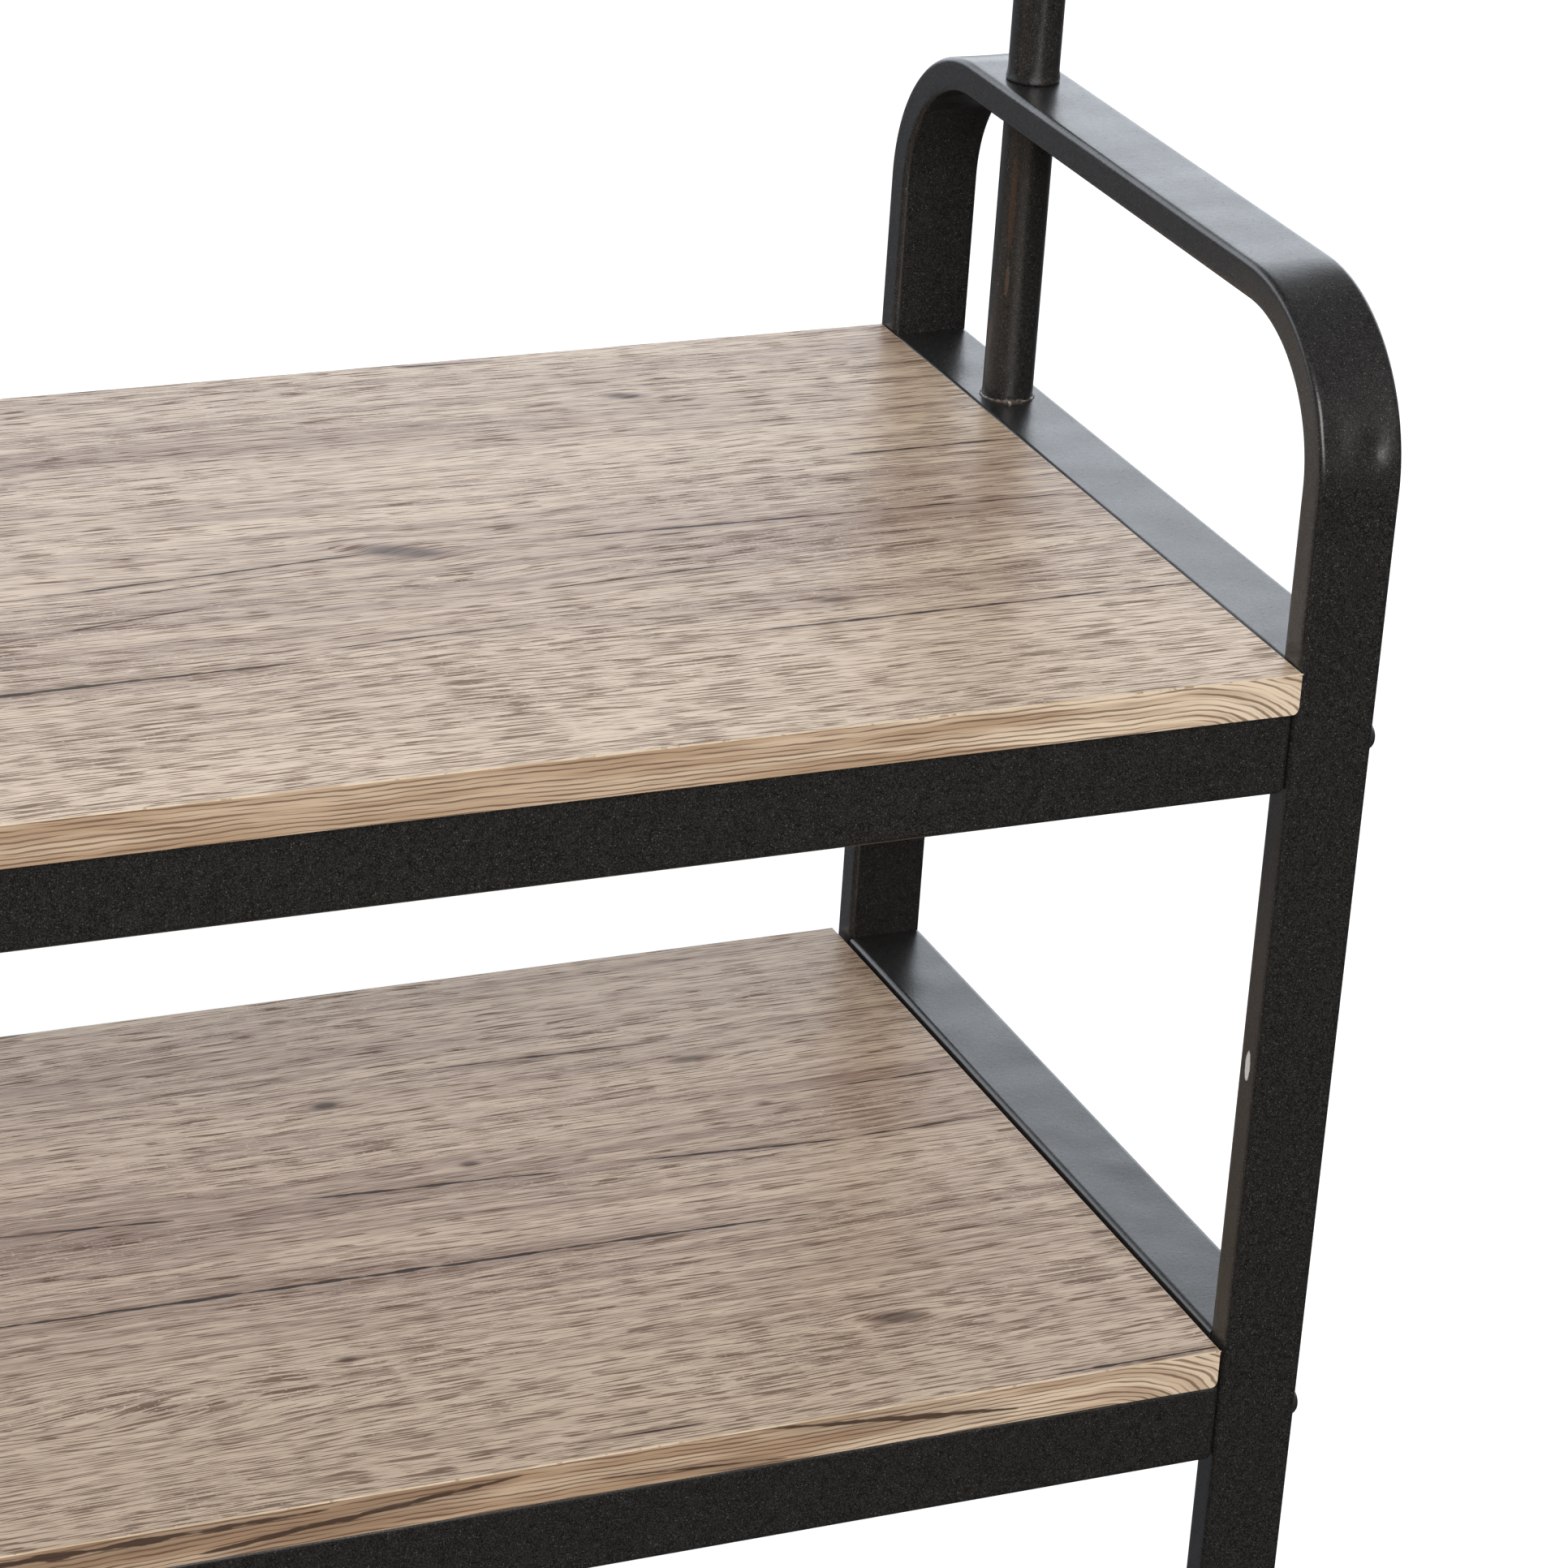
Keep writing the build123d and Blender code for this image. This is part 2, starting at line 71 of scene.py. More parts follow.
class Shader:
    """A node material under construction. Each method adds nodes and gives back the output socket."""

    def __init__(self, name, tree=None):
        if tree is None:
            self.material = bpy.data.materials.new(name)
            self.material.use_nodes = True
            tree = self.material.node_tree
            self.surface = tree.nodes["Principled BSDF"]
        self.tree = tree

    def put(self, socket, value):
        if isinstance(value, bpy.types.NodeSocket):
            self.tree.links.new(value, socket)
        elif value is not None:
            socket.default_value = value

    def add(self, kind, inputs=None, **settings):
        node = self.tree.nodes.new("ShaderNode" + kind)
        for key, value in settings.items():
            setattr(node, key, value)
        for key, value in (inputs or {}).items():
            self.put(node.inputs[key], value)
        return node

    def math(self, operation, a, b=None, c=None, clamp=False):
        return self.add("Math", {0: a, 1: b, 2: c}, operation=operation, use_clamp=clamp).outputs[0]

    def position_mm(self):
        """Object coordinates in millimetres, as three sockets."""
        place = self.add("TexCoord").outputs["Object"]
        scaled = self.add("VectorMath", {0: place, "Scale": 1000.0}, operation="SCALE").outputs[0]
        split = self.add("SeparateXYZ", {0: scaled})
        return split.outputs[0], split.outputs[1], split.outputs[2]

    def vector(self, x, y, z=0.0):
        return self.add("CombineXYZ", {0: x, 1: y, 2: z}).outputs[0]

    def grain(self, u, v, length, width, seed, detail=2.0, rough=0.5):
        """Noise stretched along u: features about length by width, in the units of u and v."""
        at_u = self.math("MULTIPLY_ADD", u, 1 / length, seed * 7.31)
        at_v = self.math("MULTIPLY_ADD", v, 1 / width, seed * 3.17)
        inputs = {"Vector": self.vector(at_u, at_v), "Scale": 1.0, "Detail": detail, "Roughness": rough}
        return self.add("TexNoise", inputs, noise_dimensions="2D").outputs[0]

    def noise(self, vector, size, detail=2.0):
        """Noise of that feature size, in the vector's units."""
        inputs = {"Vector": vector, "Scale": 1 / size, "Detail": detail, "Roughness": 0.5}
        return self.add("TexNoise", inputs, noise_dimensions="3D").outputs[0]

    def step(self, value, low, high, to_low=0.0, to_high=1.0):
        """Smooth step from low to high."""
        inputs = {"Value": value, "From Min": low, "From Max": high, "To Min": to_low, "To Max": to_high}
        return self.add("MapRange", inputs, interpolation_type="SMOOTHSTEP").outputs[0]

    def mix(self, factor, a, b, blend="MIX"):
        inputs = {0: factor, 6: a, 7: b}
        return self.add("Mix", inputs, data_type="RGBA", blend_type=blend).outputs[2]

    def bump(self, height_mm, strength):
        """Bump from a height in millimetres."""
        inputs = {"Strength": strength, "Distance": MM, "Height": height_mm}
        return self.add("Bump", inputs).outputs[0]


# ---- oak laminate --------------------------------------------------------------------------------
LIGHT_OAK = srgb(236, 213, 186)
MID_OAK = srgb(196, 171, 148)
DARK_OAK = srgb(148, 116, 92)
PORE = srgb(84, 54, 38)
CRACK = srgb(44, 31, 25)
# Painted highlight: colour of the bright glints beside the pores.
PORE_PAINTED_HIGHLIGHT = srgb(244, 238, 226)


def mark_cracks(shader, u, v, cracks):
    """Dark lines from (u0, v0) to (u1, v1) with that width, and the brown halo around them."""
    core = halo = 0.0
    ragged = shader.grain(u, v, 15, 5, 5.3, detail=3)
    for u0, v0, u1, v1, width in cracks:
        along = shader.math("MULTIPLY_ADD", u, 1 / (u1 - u0), -u0 / (u1 - u0), clamp=True)
        middle = shader.math("MULTIPLY_ADD", along, v1 - v0, v0)
        away = shader.math("ABSOLUTE", shader.math("SUBTRACT", v, middle))
        taper = shader.math("MULTIPLY", along, shader.math("SUBTRACT", 1.0, along))
        taper = shader.math("POWER", shader.math("MULTIPLY", taper, 4.0), 0.4)
        swell = shader.math("MULTIPLY_ADD", ragged, 2.6 * width, -0.42 * width)
        half = shader.math("MULTIPLY", taper, swell)
        line = shader.math("DIVIDE", shader.math("SUBTRACT", half, away), 0.3 * width, clamp=True)
        glow = shader.math("SUBTRACT", shader.math("MULTIPLY", taper, 7 * width), away)
        glow = shader.math("DIVIDE", glow, 7 * width, clamp=True)
        core = shader.math("MAXIMUM", core, line)
        halo = shader.math("MAXIMUM", halo, glow)
    return core, halo


def bend_round_knots(shader, u, v, knots):
    """Grain coordinate that flows round each knot, and the knots' dark hearts.

    Each knot is (u, v, length, width, darkness, tilt)."""
    flowing, heart = v, 0.0
    for ku, kv, length, width, dark, tilt in knots:
        du = shader.math("SUBTRACT", u, ku)
        dv = shader.math("SUBTRACT", v, kv)
        along = shader.math("MULTIPLY", du, 1 / length)
        across = shader.math("MULTIPLY_ADD", du, tilt / width, shader.math("MULTIPLY", dv, 1 / width))
        square = shader.math("MULTIPLY_ADD", along, along, shader.math("MULTIPLY", across, across))
        near = shader.math("EXPONENT", shader.math("MULTIPLY", square, -1.0))
        shift = shader.math("MULTIPLY", near, shader.math("MULTIPLY", across, -0.62 * width))
        flowing = shader.math("ADD", flowing, shift)
        spot = shader.math("EXPONENT", shader.math("MULTIPLY", square, -3.2))
        heart = shader.math("MAXIMUM", heart, shader.math("MULTIPLY", spot, dark))
    return flowing, heart


def dark_patches(shader, u, v, zones):
    """Sum of soft patches, each (u, v, half length, half width, strength)."""
    total = 0.0
    for zu, zv, length, width, strength in zones:
        along = shader.math("MULTIPLY_ADD", u, 1 / length, -zu / length)
        across = shader.math("MULTIPLY_ADD", v, 1 / width, -zv / width)
        square = shader.math("MULTIPLY_ADD", along, along, shader.math("MULTIPLY", across, across))
        soft = shader.math("EXPONENT", shader.math("MULTIPLY", square, -1.0))
        total = shader.math("MULTIPLY_ADD", soft, strength, total)
    return total


def growth_tones(shader, u, v, flowing, zones, seed):
    """Colour, growth bands and fibres of the oak, paler towards the board's front."""
    broad = shader.grain(u, flowing, 420, 34, seed + 1, detail=3, rough=0.55)
    broad = shader.math("SUBTRACT", broad, dark_patches(shader, u, v, zones))
    band = shader.grain(u, flowing, 240, 6.5, seed + 2, detail=3, rough=0.55)
    fibre = shader.grain(u, flowing, 75, 1.3, seed + 3, detail=3, rough=0.6)
    hair = shader.grain(u, flowing, 26, 0.45, seed + 4, detail=2)
    colour = shader.mix(shader.step(broad, 0.30, 0.62), MID_OAK, LIGHT_OAK)
    colour = shader.mix(shader.step(broad, 0.34, 0.10, 0.0, 0.55), colour, DARK_OAK)
    colour = shader.mix(shader.step(band, 0.50, 0.32, 0.0, 0.6), colour, DARK_OAK)
    colour = shader.mix(shader.step(band, 0.50, 0.66, 0.0, 0.55), colour, LIGHT_OAK)
    colour = shader.mix(shader.step(fibre, 0.50, 0.34, 0.0, 0.5), colour, DARK_OAK)
    colour = shader.mix(shader.step(fibre, 0.50, 0.66, 0.0, 0.7), colour, LIGHT_OAK)
    colour = shader.mix(shader.step(hair, 0.50, 0.32, 0.0, 0.5), colour, DARK_OAK)
    colour = shader.mix(shader.step(v, 130, 8, 0.0, 0.7), colour, LIGHT_OAK)
    return colour, band, fibre


def pore_ink(shader, u, v, flowing, seed):
    """Pores in rows along the bands, more of them towards the front, and how crowded they are."""
    rows = shader.grain(u, flowing, 220, 4.5, seed + 5, detail=1)
    crowd = shader.grain(u, v, 160, 40, seed + 6, detail=2)
    density = shader.math("MULTIPLY_ADD", rows, 0.08, -0.04)
    density = shader.math("ADD", density, shader.math("MULTIPLY_ADD", crowd, 0.10, -0.05))
    density = shader.math("ADD", density, shader.step(v, 190, 20, -0.02, 0.03))
    long_pore = shader.math("ADD", shader.grain(u, flowing, 27, 0.85, seed + 7, detail=1), density)
    short_pore = shader.math("ADD", shader.grain(u, flowing, 15, 0.6, seed + 8, detail=1), density)
    long_pore = shader.step(long_pore, 0.60, 0.65)
    short_pore = shader.step(short_pore, 0.61, 0.66)
    pores = shader.math("MAXIMUM", long_pore, short_pore)
    patch = shader.step(shader.grain(u, v, 40, 3.0, seed + 9, detail=1), 0.3, 0.55, 0.7, 1.0)
    return shader.math("MULTIPLY", pores, patch), crowd


def oak_top(name, level, knots, cracks, zones, seed, tone):
    """Greyish oak decor. u and v run in millimetres from the board's right end and the legs' front."""
    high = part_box(level)[1]
    shader = Shader(name)
    x, y, _ = shader.position_mm()
    u = shader.math("SUBTRACT", x, high.x / MM)
    v = shader.math("SUBTRACT", y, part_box("end_hoop_right")[0].y / MM)
    sway = shader.math("MULTIPLY_ADD", shader.grain(u, v, 300, 80, seed + 0.3, detail=1), 11.0, -5.5)
    waver = shader.math("MULTIPLY_ADD", shader.grain(u, v, 75, 24, seed + 0.7, detail=2), 2.6, -1.3)
    straight = shader.math("MULTIPLY_ADD", waver, 0.6, v)
    flowing, heart = bend_round_knots(shader, u, v, knots)
    flowing = shader.math("ADD", flowing, shader.math("ADD", sway, waver))

    colour, band, fibre = growth_tones(shader, u, v, flowing, zones, seed)
    ink, crowd = pore_ink(shader, u, v, flowing, seed)
    colour = shader.mix(shader.math("MULTIPLY", ink, 0.72), colour, PORE)

    # Painted highlight: pale ticks beside the pores, painted into the colour for the glints that light
    # makes on the embossed pores.
    painted_glints = shader.step(shader.grain(u, flowing, 2.2, 0.6, seed + 10, detail=1), 0.70, 0.76)
    painted_glints = shader.math("MULTIPLY", painted_glints, shader.step(crowd, 0.42, 0.6))
    colour = shader.mix(shader.math("MULTIPLY", painted_glints, 0.6), colour, PORE_PAINTED_HIGHLIGHT)

    core, halo = mark_cracks(shader, u, straight, cracks)
    colour = shader.mix(shader.math("MULTIPLY", halo, 0.6), colour, DARK_OAK)
    colour = shader.mix(shader.math("MULTIPLY", core, 0.92), colour, CRACK)
    colour = shader.mix(shader.step(heart, 0.0, 0.5, 0.0, 0.7), colour, DARK_OAK)
    heart = shader.step(heart, 0.25, 0.75)
    smudge = shader.math("MULTIPLY", heart, shader.step(band, 0.25, 0.6, 0.85, 0.6))
    colour = shader.mix(smudge, colour, CRACK)
    # The tone tints the colour; on the shelf it is painted shade under the seat.
    colour = shader.mix(1.0, colour, tone, "MULTIPLY")

    shader.put(shader.surface.inputs["Base Color"], colour)
    rough = shader.step(ink, 0.0, 1.0, 0.36, 0.5)
    rough = shader.math("ADD", rough, shader.math("MULTIPLY_ADD", fibre, 0.2, -0.1))
    shader.put(shader.surface.inputs["Roughness"], rough)
    shader.surface.inputs["IOR"].default_value = 1.36
    sunk = shader.math("MAXIMUM", shader.math("MAXIMUM", ink, core), smudge)
    shader.put(shader.surface.inputs["Specular IOR Level"], shader.step(sunk, 0.0, 1.0, 0.5, 0.1))
    depth = shader.math("MULTIPLY", ink, -0.025)
    depth = shader.math("MULTIPLY_ADD", fibre, 0.04, depth)
    depth = shader.math("MULTIPLY_ADD", core, -0.08, depth)
    shader.put(shader.surface.inputs["Normal"], shader.bump(depth, 0.8))
    return shader.material


BAND_PALE = srgb(234, 214, 188)
BAND_MID = srgb(184, 156, 128)
BAND_LINE = srgb(88, 60, 44)
BAND_CRACK = srgb(66, 48, 38)
RING_PITCH = 1.75           # millimetres between the edge band's dark rings
HEART_BELOW = 7.5           # millimetres from the board's underside down to the rings' centre
CURL_REACH = 46.0           # millimetres from the board's end over which the rings curl
CURL_SLOPE = 0.46


def edge_band(name, level, cracks, seed, tone):
    """Yellower edge band. Its rings run level and curl down towards each end of the board."""
    low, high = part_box(level)
    shader = Shader(name)
    x, y, z = shader.position_mm()
    end_left = shader.math("SUBTRACT", x, low.x / MM)
    end_right = shader.math("SUBTRACT", high.x / MM, x)
    from_end = shader.math("MINIMUM", end_left, end_right)
    height = shader.math("SUBTRACT", z, low.z / MM)
    u = shader.math("SUBTRACT", x, high.x / MM)
    curl = shader.math("MAXIMUM", shader.math("SUBTRACT", CURL_REACH, from_end), 0.0)
    curl = shader.math("MULTIPLY", curl, CURL_SLOPE)
    over = shader.math("ADD", height, HEART_BELOW)
    over = shader.math("MULTIPLY", over, over)
    ring = shader.math("SQRT", shader.math("MULTIPLY_ADD", curl, curl, over))
    sway = shader.math("MULTIPLY_ADD", shader.grain(u, height, 130, 30, seed, detail=2), 5.0, -2.5)
    waver = shader.grain(u, height, 16, 6.0, seed + 0.5, detail=2)
    waver = shader.math("MULTIPLY_ADD", waver, 1.1, -0.55)
    ring = shader.math("ADD", ring, shader.math("ADD", sway, waver))

    wave = shader.math("SINE", shader.math("MULTIPLY", ring, 2 * pi / RING_PITCH))
    strength = shader.grain(u, ring, 34, 1.5, seed + 1, detail=2)
    lines = shader.step(shader.math("MULTIPLY_ADD", strength, 2.4, wave), 1.45, 2.2)
    fine = shader.step(shader.grain(u, ring, 26, 0.42, seed + 2, detail=3), 0.50, 0.74)
    broad = shader.step(shader.grain(u, ring, 80, 5, seed + 3, detail=2), 0.35, 0.68)
    broad = shader.math("MULTIPLY", broad, shader.step(from_end, 260, 60, 0.45, 1.0))
    broad = shader.math("ADD", broad, shader.step(from_end, 110, 10, 0.0, 0.5), clamp=True)
    colour = shader.mix(broad, BAND_MID, BAND_PALE)
    colour = shader.mix(shader.math("MULTIPLY", fine, 0.30), colour, BAND_LINE)
    colour = shader.mix(shader.math("MULTIPLY", lines, 0.72), colour, BAND_LINE)
    core, halo = mark_cracks(shader, u, height, cracks) if cracks else (0.0, 0.0)
    colour = shader.mix(shader.math("MULTIPLY", halo, 0.45), colour, BAND_LINE)
    colour = shader.mix(shader.math("MULTIPLY", core, 0.9), colour, BAND_CRACK)
    # The tone tints the colour; on the shelf it is painted shade under the seat.
    colour = shader.mix(1.0, colour, tone, "MULTIPLY")
    shader.put(shader.surface.inputs["Base Color"], colour)
    rough = shader.step(lines, 0.0, 1.0, 0.46, 0.6)
    shader.put(shader.surface.inputs["Roughness"], rough)
    depth = shader.math("MULTIPLY", lines, -0.05)
    shader.put(shader.surface.inputs["Normal"], shader.bump(depth, 0.7))
    return shader.material


def backing_paper(name):
    """Dull brown-beige paper on the boards' undersides."""
    shader = Shader(name)
    x, y, _ = shader.position_mm()
    cloud = shader.grain(x, y, 60, 45, 3.0, detail=4)
    fleck = shader.grain(x, y, 3.0, 1.2, 4.0, detail=2)
    colour = shader.mix(shader.step(cloud, 0.3, 0.7), srgb(176, 158, 136), srgb(196, 180, 158))
    colour = shader.mix(shader.step(fleck, 0.6, 0.75, 0.0, 0.35), colour, srgb(130, 112, 94))
    shader.put(shader.surface.inputs["Base Color"], colour)
    shader.put(shader.surface.inputs["Roughness"], shader.step(fleck, 0.3, 0.7, 0.62, 0.75))
    shader.put(shader.surface.inputs["Normal"], shader.bump(shader.math("MULTIPLY", fleck, 0.03), 0.6))
    return shader.material


def laminate_edge(name):
    """Cut edge of the laminate sheet: a pale line with chipped darker stretches."""
    shader = Shader(name)
    x, y, _ = shader.position_mm()
    chips = shader.grain(x, y, 4.0, 2.0, 8.0, detail=3)
    long_chips = shader.grain(x, y, 26.0, 5.0, 9.0, detail=2)
    colour = shader.mix(shader.step(chips, 0.28, 0.42), srgb(176, 150, 122), srgb(228, 210, 184))
    colour = shader.mix(shader.step(long_chips, 0.48, 0.62), colour, srgb(206, 184, 156))
    shader.put(shader.surface.inputs["Base Color"], colour)
    shader.put(shader.surface.inputs["Roughness"], shader.step(chips, 0.3, 0.7, 0.4, 0.6))
    shader.put(shader.surface.inputs["Normal"], shader.bump(shader.math("MULTIPLY", chips, 0.12), 0.8))
    return shader.material


# ---- metal and plastic ---------------------------------------------------------------------------
COAT_BLACK = srgb(18, 17, 17)
CELL = 0.8                  # millimetres between the coat's flecks and pits
THREAD_PITCH = 1.0          # millimetres


def powder_coat(name, marks=()):
    """Semi-gloss black powder coat: orange peel, fine grain and sparse bright flecks lightened in as
    painted sparkle highlight, and pits.

    Each mark is (centre in mm, half sizes in mm, colour, raggedness) and shows a chip or a stain."""
    shader = Shader(name)
    x, y, z = shader.position_mm()
    place = shader.vector(x, y, z)
    peel = shader.noise(place, 1.5, detail=2)
    grit = shader.noise(place, 0.42, detail=1)
    swell = shader.noise(place, 34, detail=1)
    cells = shader.add("TexVoronoi", {"Vector": place, "Scale": 1 / CELL, "Randomness": 1.0})
    pick = shader.add("SeparateColor", {0: cells.outputs["Color"]}).outputs[0]
    near = shader.step(cells.outputs["Distance"], 0.42, 0.14)
    fleck = shader.math("MULTIPLY", shader.step(pick, 0.80, 1.0), near)
    pit = shader.math("MULTIPLY", shader.step(pick, 0.06, 0.02), near)
    tone = shader.step(shader.noise(place, 2.4, detail=3), 0.3, 0.7)
    colour = shader.mix(tone, COAT_BLACK, srgb(31, 30, 29))
    # Painted sparkle highlight: the lighter grain and the bright flecks stand for glints of light off the
    # coat's tiny bumps.
    colour = shader.mix(shader.step(grit, 0.46, 0.66), colour, srgb(56, 55, 54))
    colour = shader.mix(shader.math("MULTIPLY", fleck, 0.36), colour, srgb(140, 140, 136))
    for centre, half, stain, ragged in marks:
        away = 0.0
        for axis, middle, reach in zip((x, y, z), centre, half):
            part = shader.math("MULTIPLY_ADD", axis, 1 / reach, -middle / reach)
            away = shader.math("MULTIPLY_ADD", part, part, away)
        edge = shader.math("MULTIPLY_ADD", shader.noise(place, min(half) * 0.9, detail=3), ragged, away)
        inside = shader.step(edge, 0.9 + ragged * 0.5, 0.6 + ragged * 0.5)
        colour = shader.mix(shader.math("MULTIPLY", inside, stain[3]), colour, stain)
    shader.put(shader.surface.inputs["Base Color"], colour)
    rough = shader.math("MULTIPLY_ADD", peel, 0.10, 0.22)
    rough = shader.math("ADD", rough, shader.math("MULTIPLY", pit, 0.3))
    rough = shader.math("ADD", rough, shader.math("MULTIPLY", swell, 0.06))
    shader.put(shader.surface.inputs["Roughness"], rough)
    shader.surface.inputs["IOR"].default_value = 1.52
    height = shader.math("MULTIPLY", peel, 0.05)
    height = shader.math("MULTIPLY_ADD", grit, 0.008, height)
    height = shader.math("MULTIPLY_ADD", pit, -0.05, height)
    height = shader.math("MULTIPLY_ADD", swell, 0.9, height)
    shader.put(shader.surface.inputs["Normal"], shader.bump(height, 0.9))
    return shader.material


def black_fastener(name):
    """Black oxide with bare steel just showing where a key or a driver has rubbed."""
    shader = Shader(name)
    place = shader.vector(*shader.position_mm())
    rub = shader.noise(place, 1.2, detail=3)
    colour = shader.mix(shader.step(rub, 0.58, 0.72, 0.0, 0.7), srgb(30, 29, 29), srgb(92, 90, 88))
    shader.put(shader.surface.inputs["Base Color"], colour)
    shader.put(shader.surface.inputs["Roughness"], shader.step(rub, 0.3, 0.7, 0.42, 0.28))
    shader.surface.inputs["IOR"].default_value = 1.9
    shader.put(shader.surface.inputs["Normal"], shader.bump(shader.math("MULTIPLY", rub, 0.02), 0.7))
    return shader.material


def zinc_steel(name):
    """Zinc-plated steel with a thread along the feet's stems, its grooves darkened as painted shade."""
    shader = Shader(name)
    x, y, z = shader.position_mm()
    place = shader.vector(x, y, z)
    cloud = shader.noise(place, 3.0, detail=3)
    thread = shader.math("SINE", shader.math("MULTIPLY", z, 2 * pi / THREAD_PITCH))
    colour = shader.mix(shader.step(cloud, 0.3, 0.7), srgb(150, 148, 140), srgb(190, 188, 180))
    # Painted shade: the thread's grooves are darkened in the colour.
    colour = shader.mix(shader.step(thread, -0.2, -0.9, 0.0, 0.6), colour, srgb(70, 68, 64))
    shader.put(shader.surface.inputs["Base Color"], colour)
    shader.surface.inputs["Metallic"].default_value = 1.0
    shader.put(shader.surface.inputs["Roughness"], shader.step(cloud, 0.3, 0.7, 0.3, 0.45))
    shader.put(shader.surface.inputs["Normal"], shader.bump(shader.math("MULTIPLY", thread, 0.18), 1.0))
    return shader.material


def moulded_nylon(name):
    """Black nylon with a fine mould texture, scuffed a little grey."""
    shader = Shader(name)
    place = shader.vector(*shader.position_mm())
    texture = shader.noise(place, 0.5, detail=2)
    scuff = shader.noise(place, 4.0, detail=4)
    colour = shader.mix(shader.step(scuff, 0.55, 0.75, 0.0, 0.6), srgb(24, 24, 25), srgb(58, 57, 56))
    shader.put(shader.surface.inputs["Base Color"], colour)
    shader.put(shader.surface.inputs["Roughness"], shader.step(scuff, 0.3, 0.7, 0.48, 0.62))
    shader.put(shader.surface.inputs["Normal"], shader.bump(shader.math("MULTIPLY", texture, 0.03), 0.8))
    return shader.material


def weld_metal(name):
    """Painted-over weld: brown scale, and a little bare metal on the high spots that is also a painted
    highlight.
    """
    shader = Shader(name)
    place = shader.vector(*shader.position_mm())
    scale = shader.noise(place, 1.4, detail=4)
    colour = shader.mix(shader.step(scale, 0.42, 0.6), srgb(34, 30, 28), srgb(84, 66, 52))
    # Bare metal on the high spots, pale enough to be a painted highlight as well.
    colour = shader.mix(shader.step(scale, 0.6, 0.74, 0.0, 0.8), colour, srgb(168, 158, 146))
    shader.put(shader.surface.inputs["Base Color"], colour)
    shader.put(shader.surface.inputs["Roughness"], shader.step(scale, 0.3, 0.7, 0.5, 0.3))
    shader.surface.inputs["IOR"].default_value = 1.9
    shader.put(shader.surface.inputs["Normal"], shader.bump(shader.math("MULTIPLY", scale, 0.25), 0.9))
    return shader.material


def burr_material(name):
    """Torn wood fibre and glue along the boards' edges."""
    shader = Shader(name)
    place = shader.vector(*shader.position_mm())
    fibre = shader.noise(place, 0.4, detail=2)
    colour = shader.mix(fibre, srgb(206, 180, 146), srgb(240, 228, 208))
    shader.put(shader.surface.inputs["Base Color"], colour)
    shader.put(shader.surface.inputs["Roughness"], shader.step(fibre, 0.3, 0.7, 0.5, 0.8))
    return shader.material


# ---- mesh building -------------------------------------------------------------------------------
def new_mesh(name, points, faces, material):
    """Smooth mesh object from points and faces, riding on the bench."""
    mesh = bpy.data.meshes.new(name)
    mesh.from_pydata([tuple(p) for p in points], [], faces)
    work = bmesh.new()
    work.from_mesh(mesh)
    bmesh.ops.remove_doubles(work, verts=work.verts, dist=1e-7)
    bmesh.ops.recalc_face_normals(work, faces=work.faces)
    work.to_mesh(mesh)
    work.free()
    for polygon in mesh.polygons:
        polygon.use_smooth = True
    mesh.materials.append(material)
    piece = bpy.data.objects.new(name, mesh)
    bpy.context.collection.objects.link(piece)
    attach(piece, "bench")
    return piece


def flatten_normals(piece):
    """Keeps flats flat beside rounded edges."""
    modifier = piece.modifiers.new("flats", "WEIGHTED_NORMAL")
    modifier.mode = "FACE_AREA"
    modifier.keep_sharp = True


def circle(sides):
    """Cosine and sine of each of that many even steps round a circle."""
    return [(cos(k * 2 * pi / sides), sin(k * 2 * pi / sides)) for k in range(sides)]


def loft(rings, closed=False):
    """Points and faces that join equal rings of points one to the next, capped unless closed."""
    count = len(rings[0])
    points = [p for ring in rings for p in ring]
    faces = []
    spans = len(rings) if closed else len(rings) - 1
    for i in range(spans):
        a, b = i * count, (i + 1) % len(rings) * count
        faces += [(a + j, a + (j + 1) % count, b + (j + 1) % count, b + j) for j in range(count)]
    if not closed:
        faces += [tuple(range(count)), tuple(range(len(points) - count, len(points)))]
    return points, faces


def tube_section(wide, thin, corner, wide_steps, thin_steps, corner_steps=5):
    """Rounded rectangle as (u, v) pairs, its flats divided so that they can be dented."""
    section = []
    half_u, half_v = wide / 2, thin / 2
    centres = ((1, 1, 0), (-1, 1, 1), (-1, -1, 2), (1, -1, 3))
    for quarter, (su, sv, turn) in enumerate(centres):
        cu, cv = su * (half_u - corner), sv * (half_v - corner)
        for k in range(corner_steps + 1):
            angle = (turn + k / corner_steps) * pi / 2
            section.append((cu + corner * cos(angle), cv + corner * sin(angle)))
        next_u, next_v, next_turn = centres[(quarter + 1) % 4]
        start = section[-1]
        angle = next_turn * pi / 2
        end_u = next_u * (half_u - corner) + corner * cos(angle)
        end_v = next_v * (half_v - corner) + corner * sin(angle)
        steps = wide_steps if quarter % 2 == 0 else thin_steps
        for k in range(1, steps):
            t = k / steps
            section.append((start[0] + (end_u - start[0]) * t, start[1] + (end_v - start[1]) * t))
    return section


# ---- hoops ---------------------------------------------------------------------------------------
HOOP_LOW, HOOP_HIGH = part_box("end_hoop_right")
TUBE_WIDE = HOOP_HIGH.x - HOOP_LOW.x
TUBE_THIN = HOOP_HIGH.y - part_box("seat_end_rail_right")[1].y

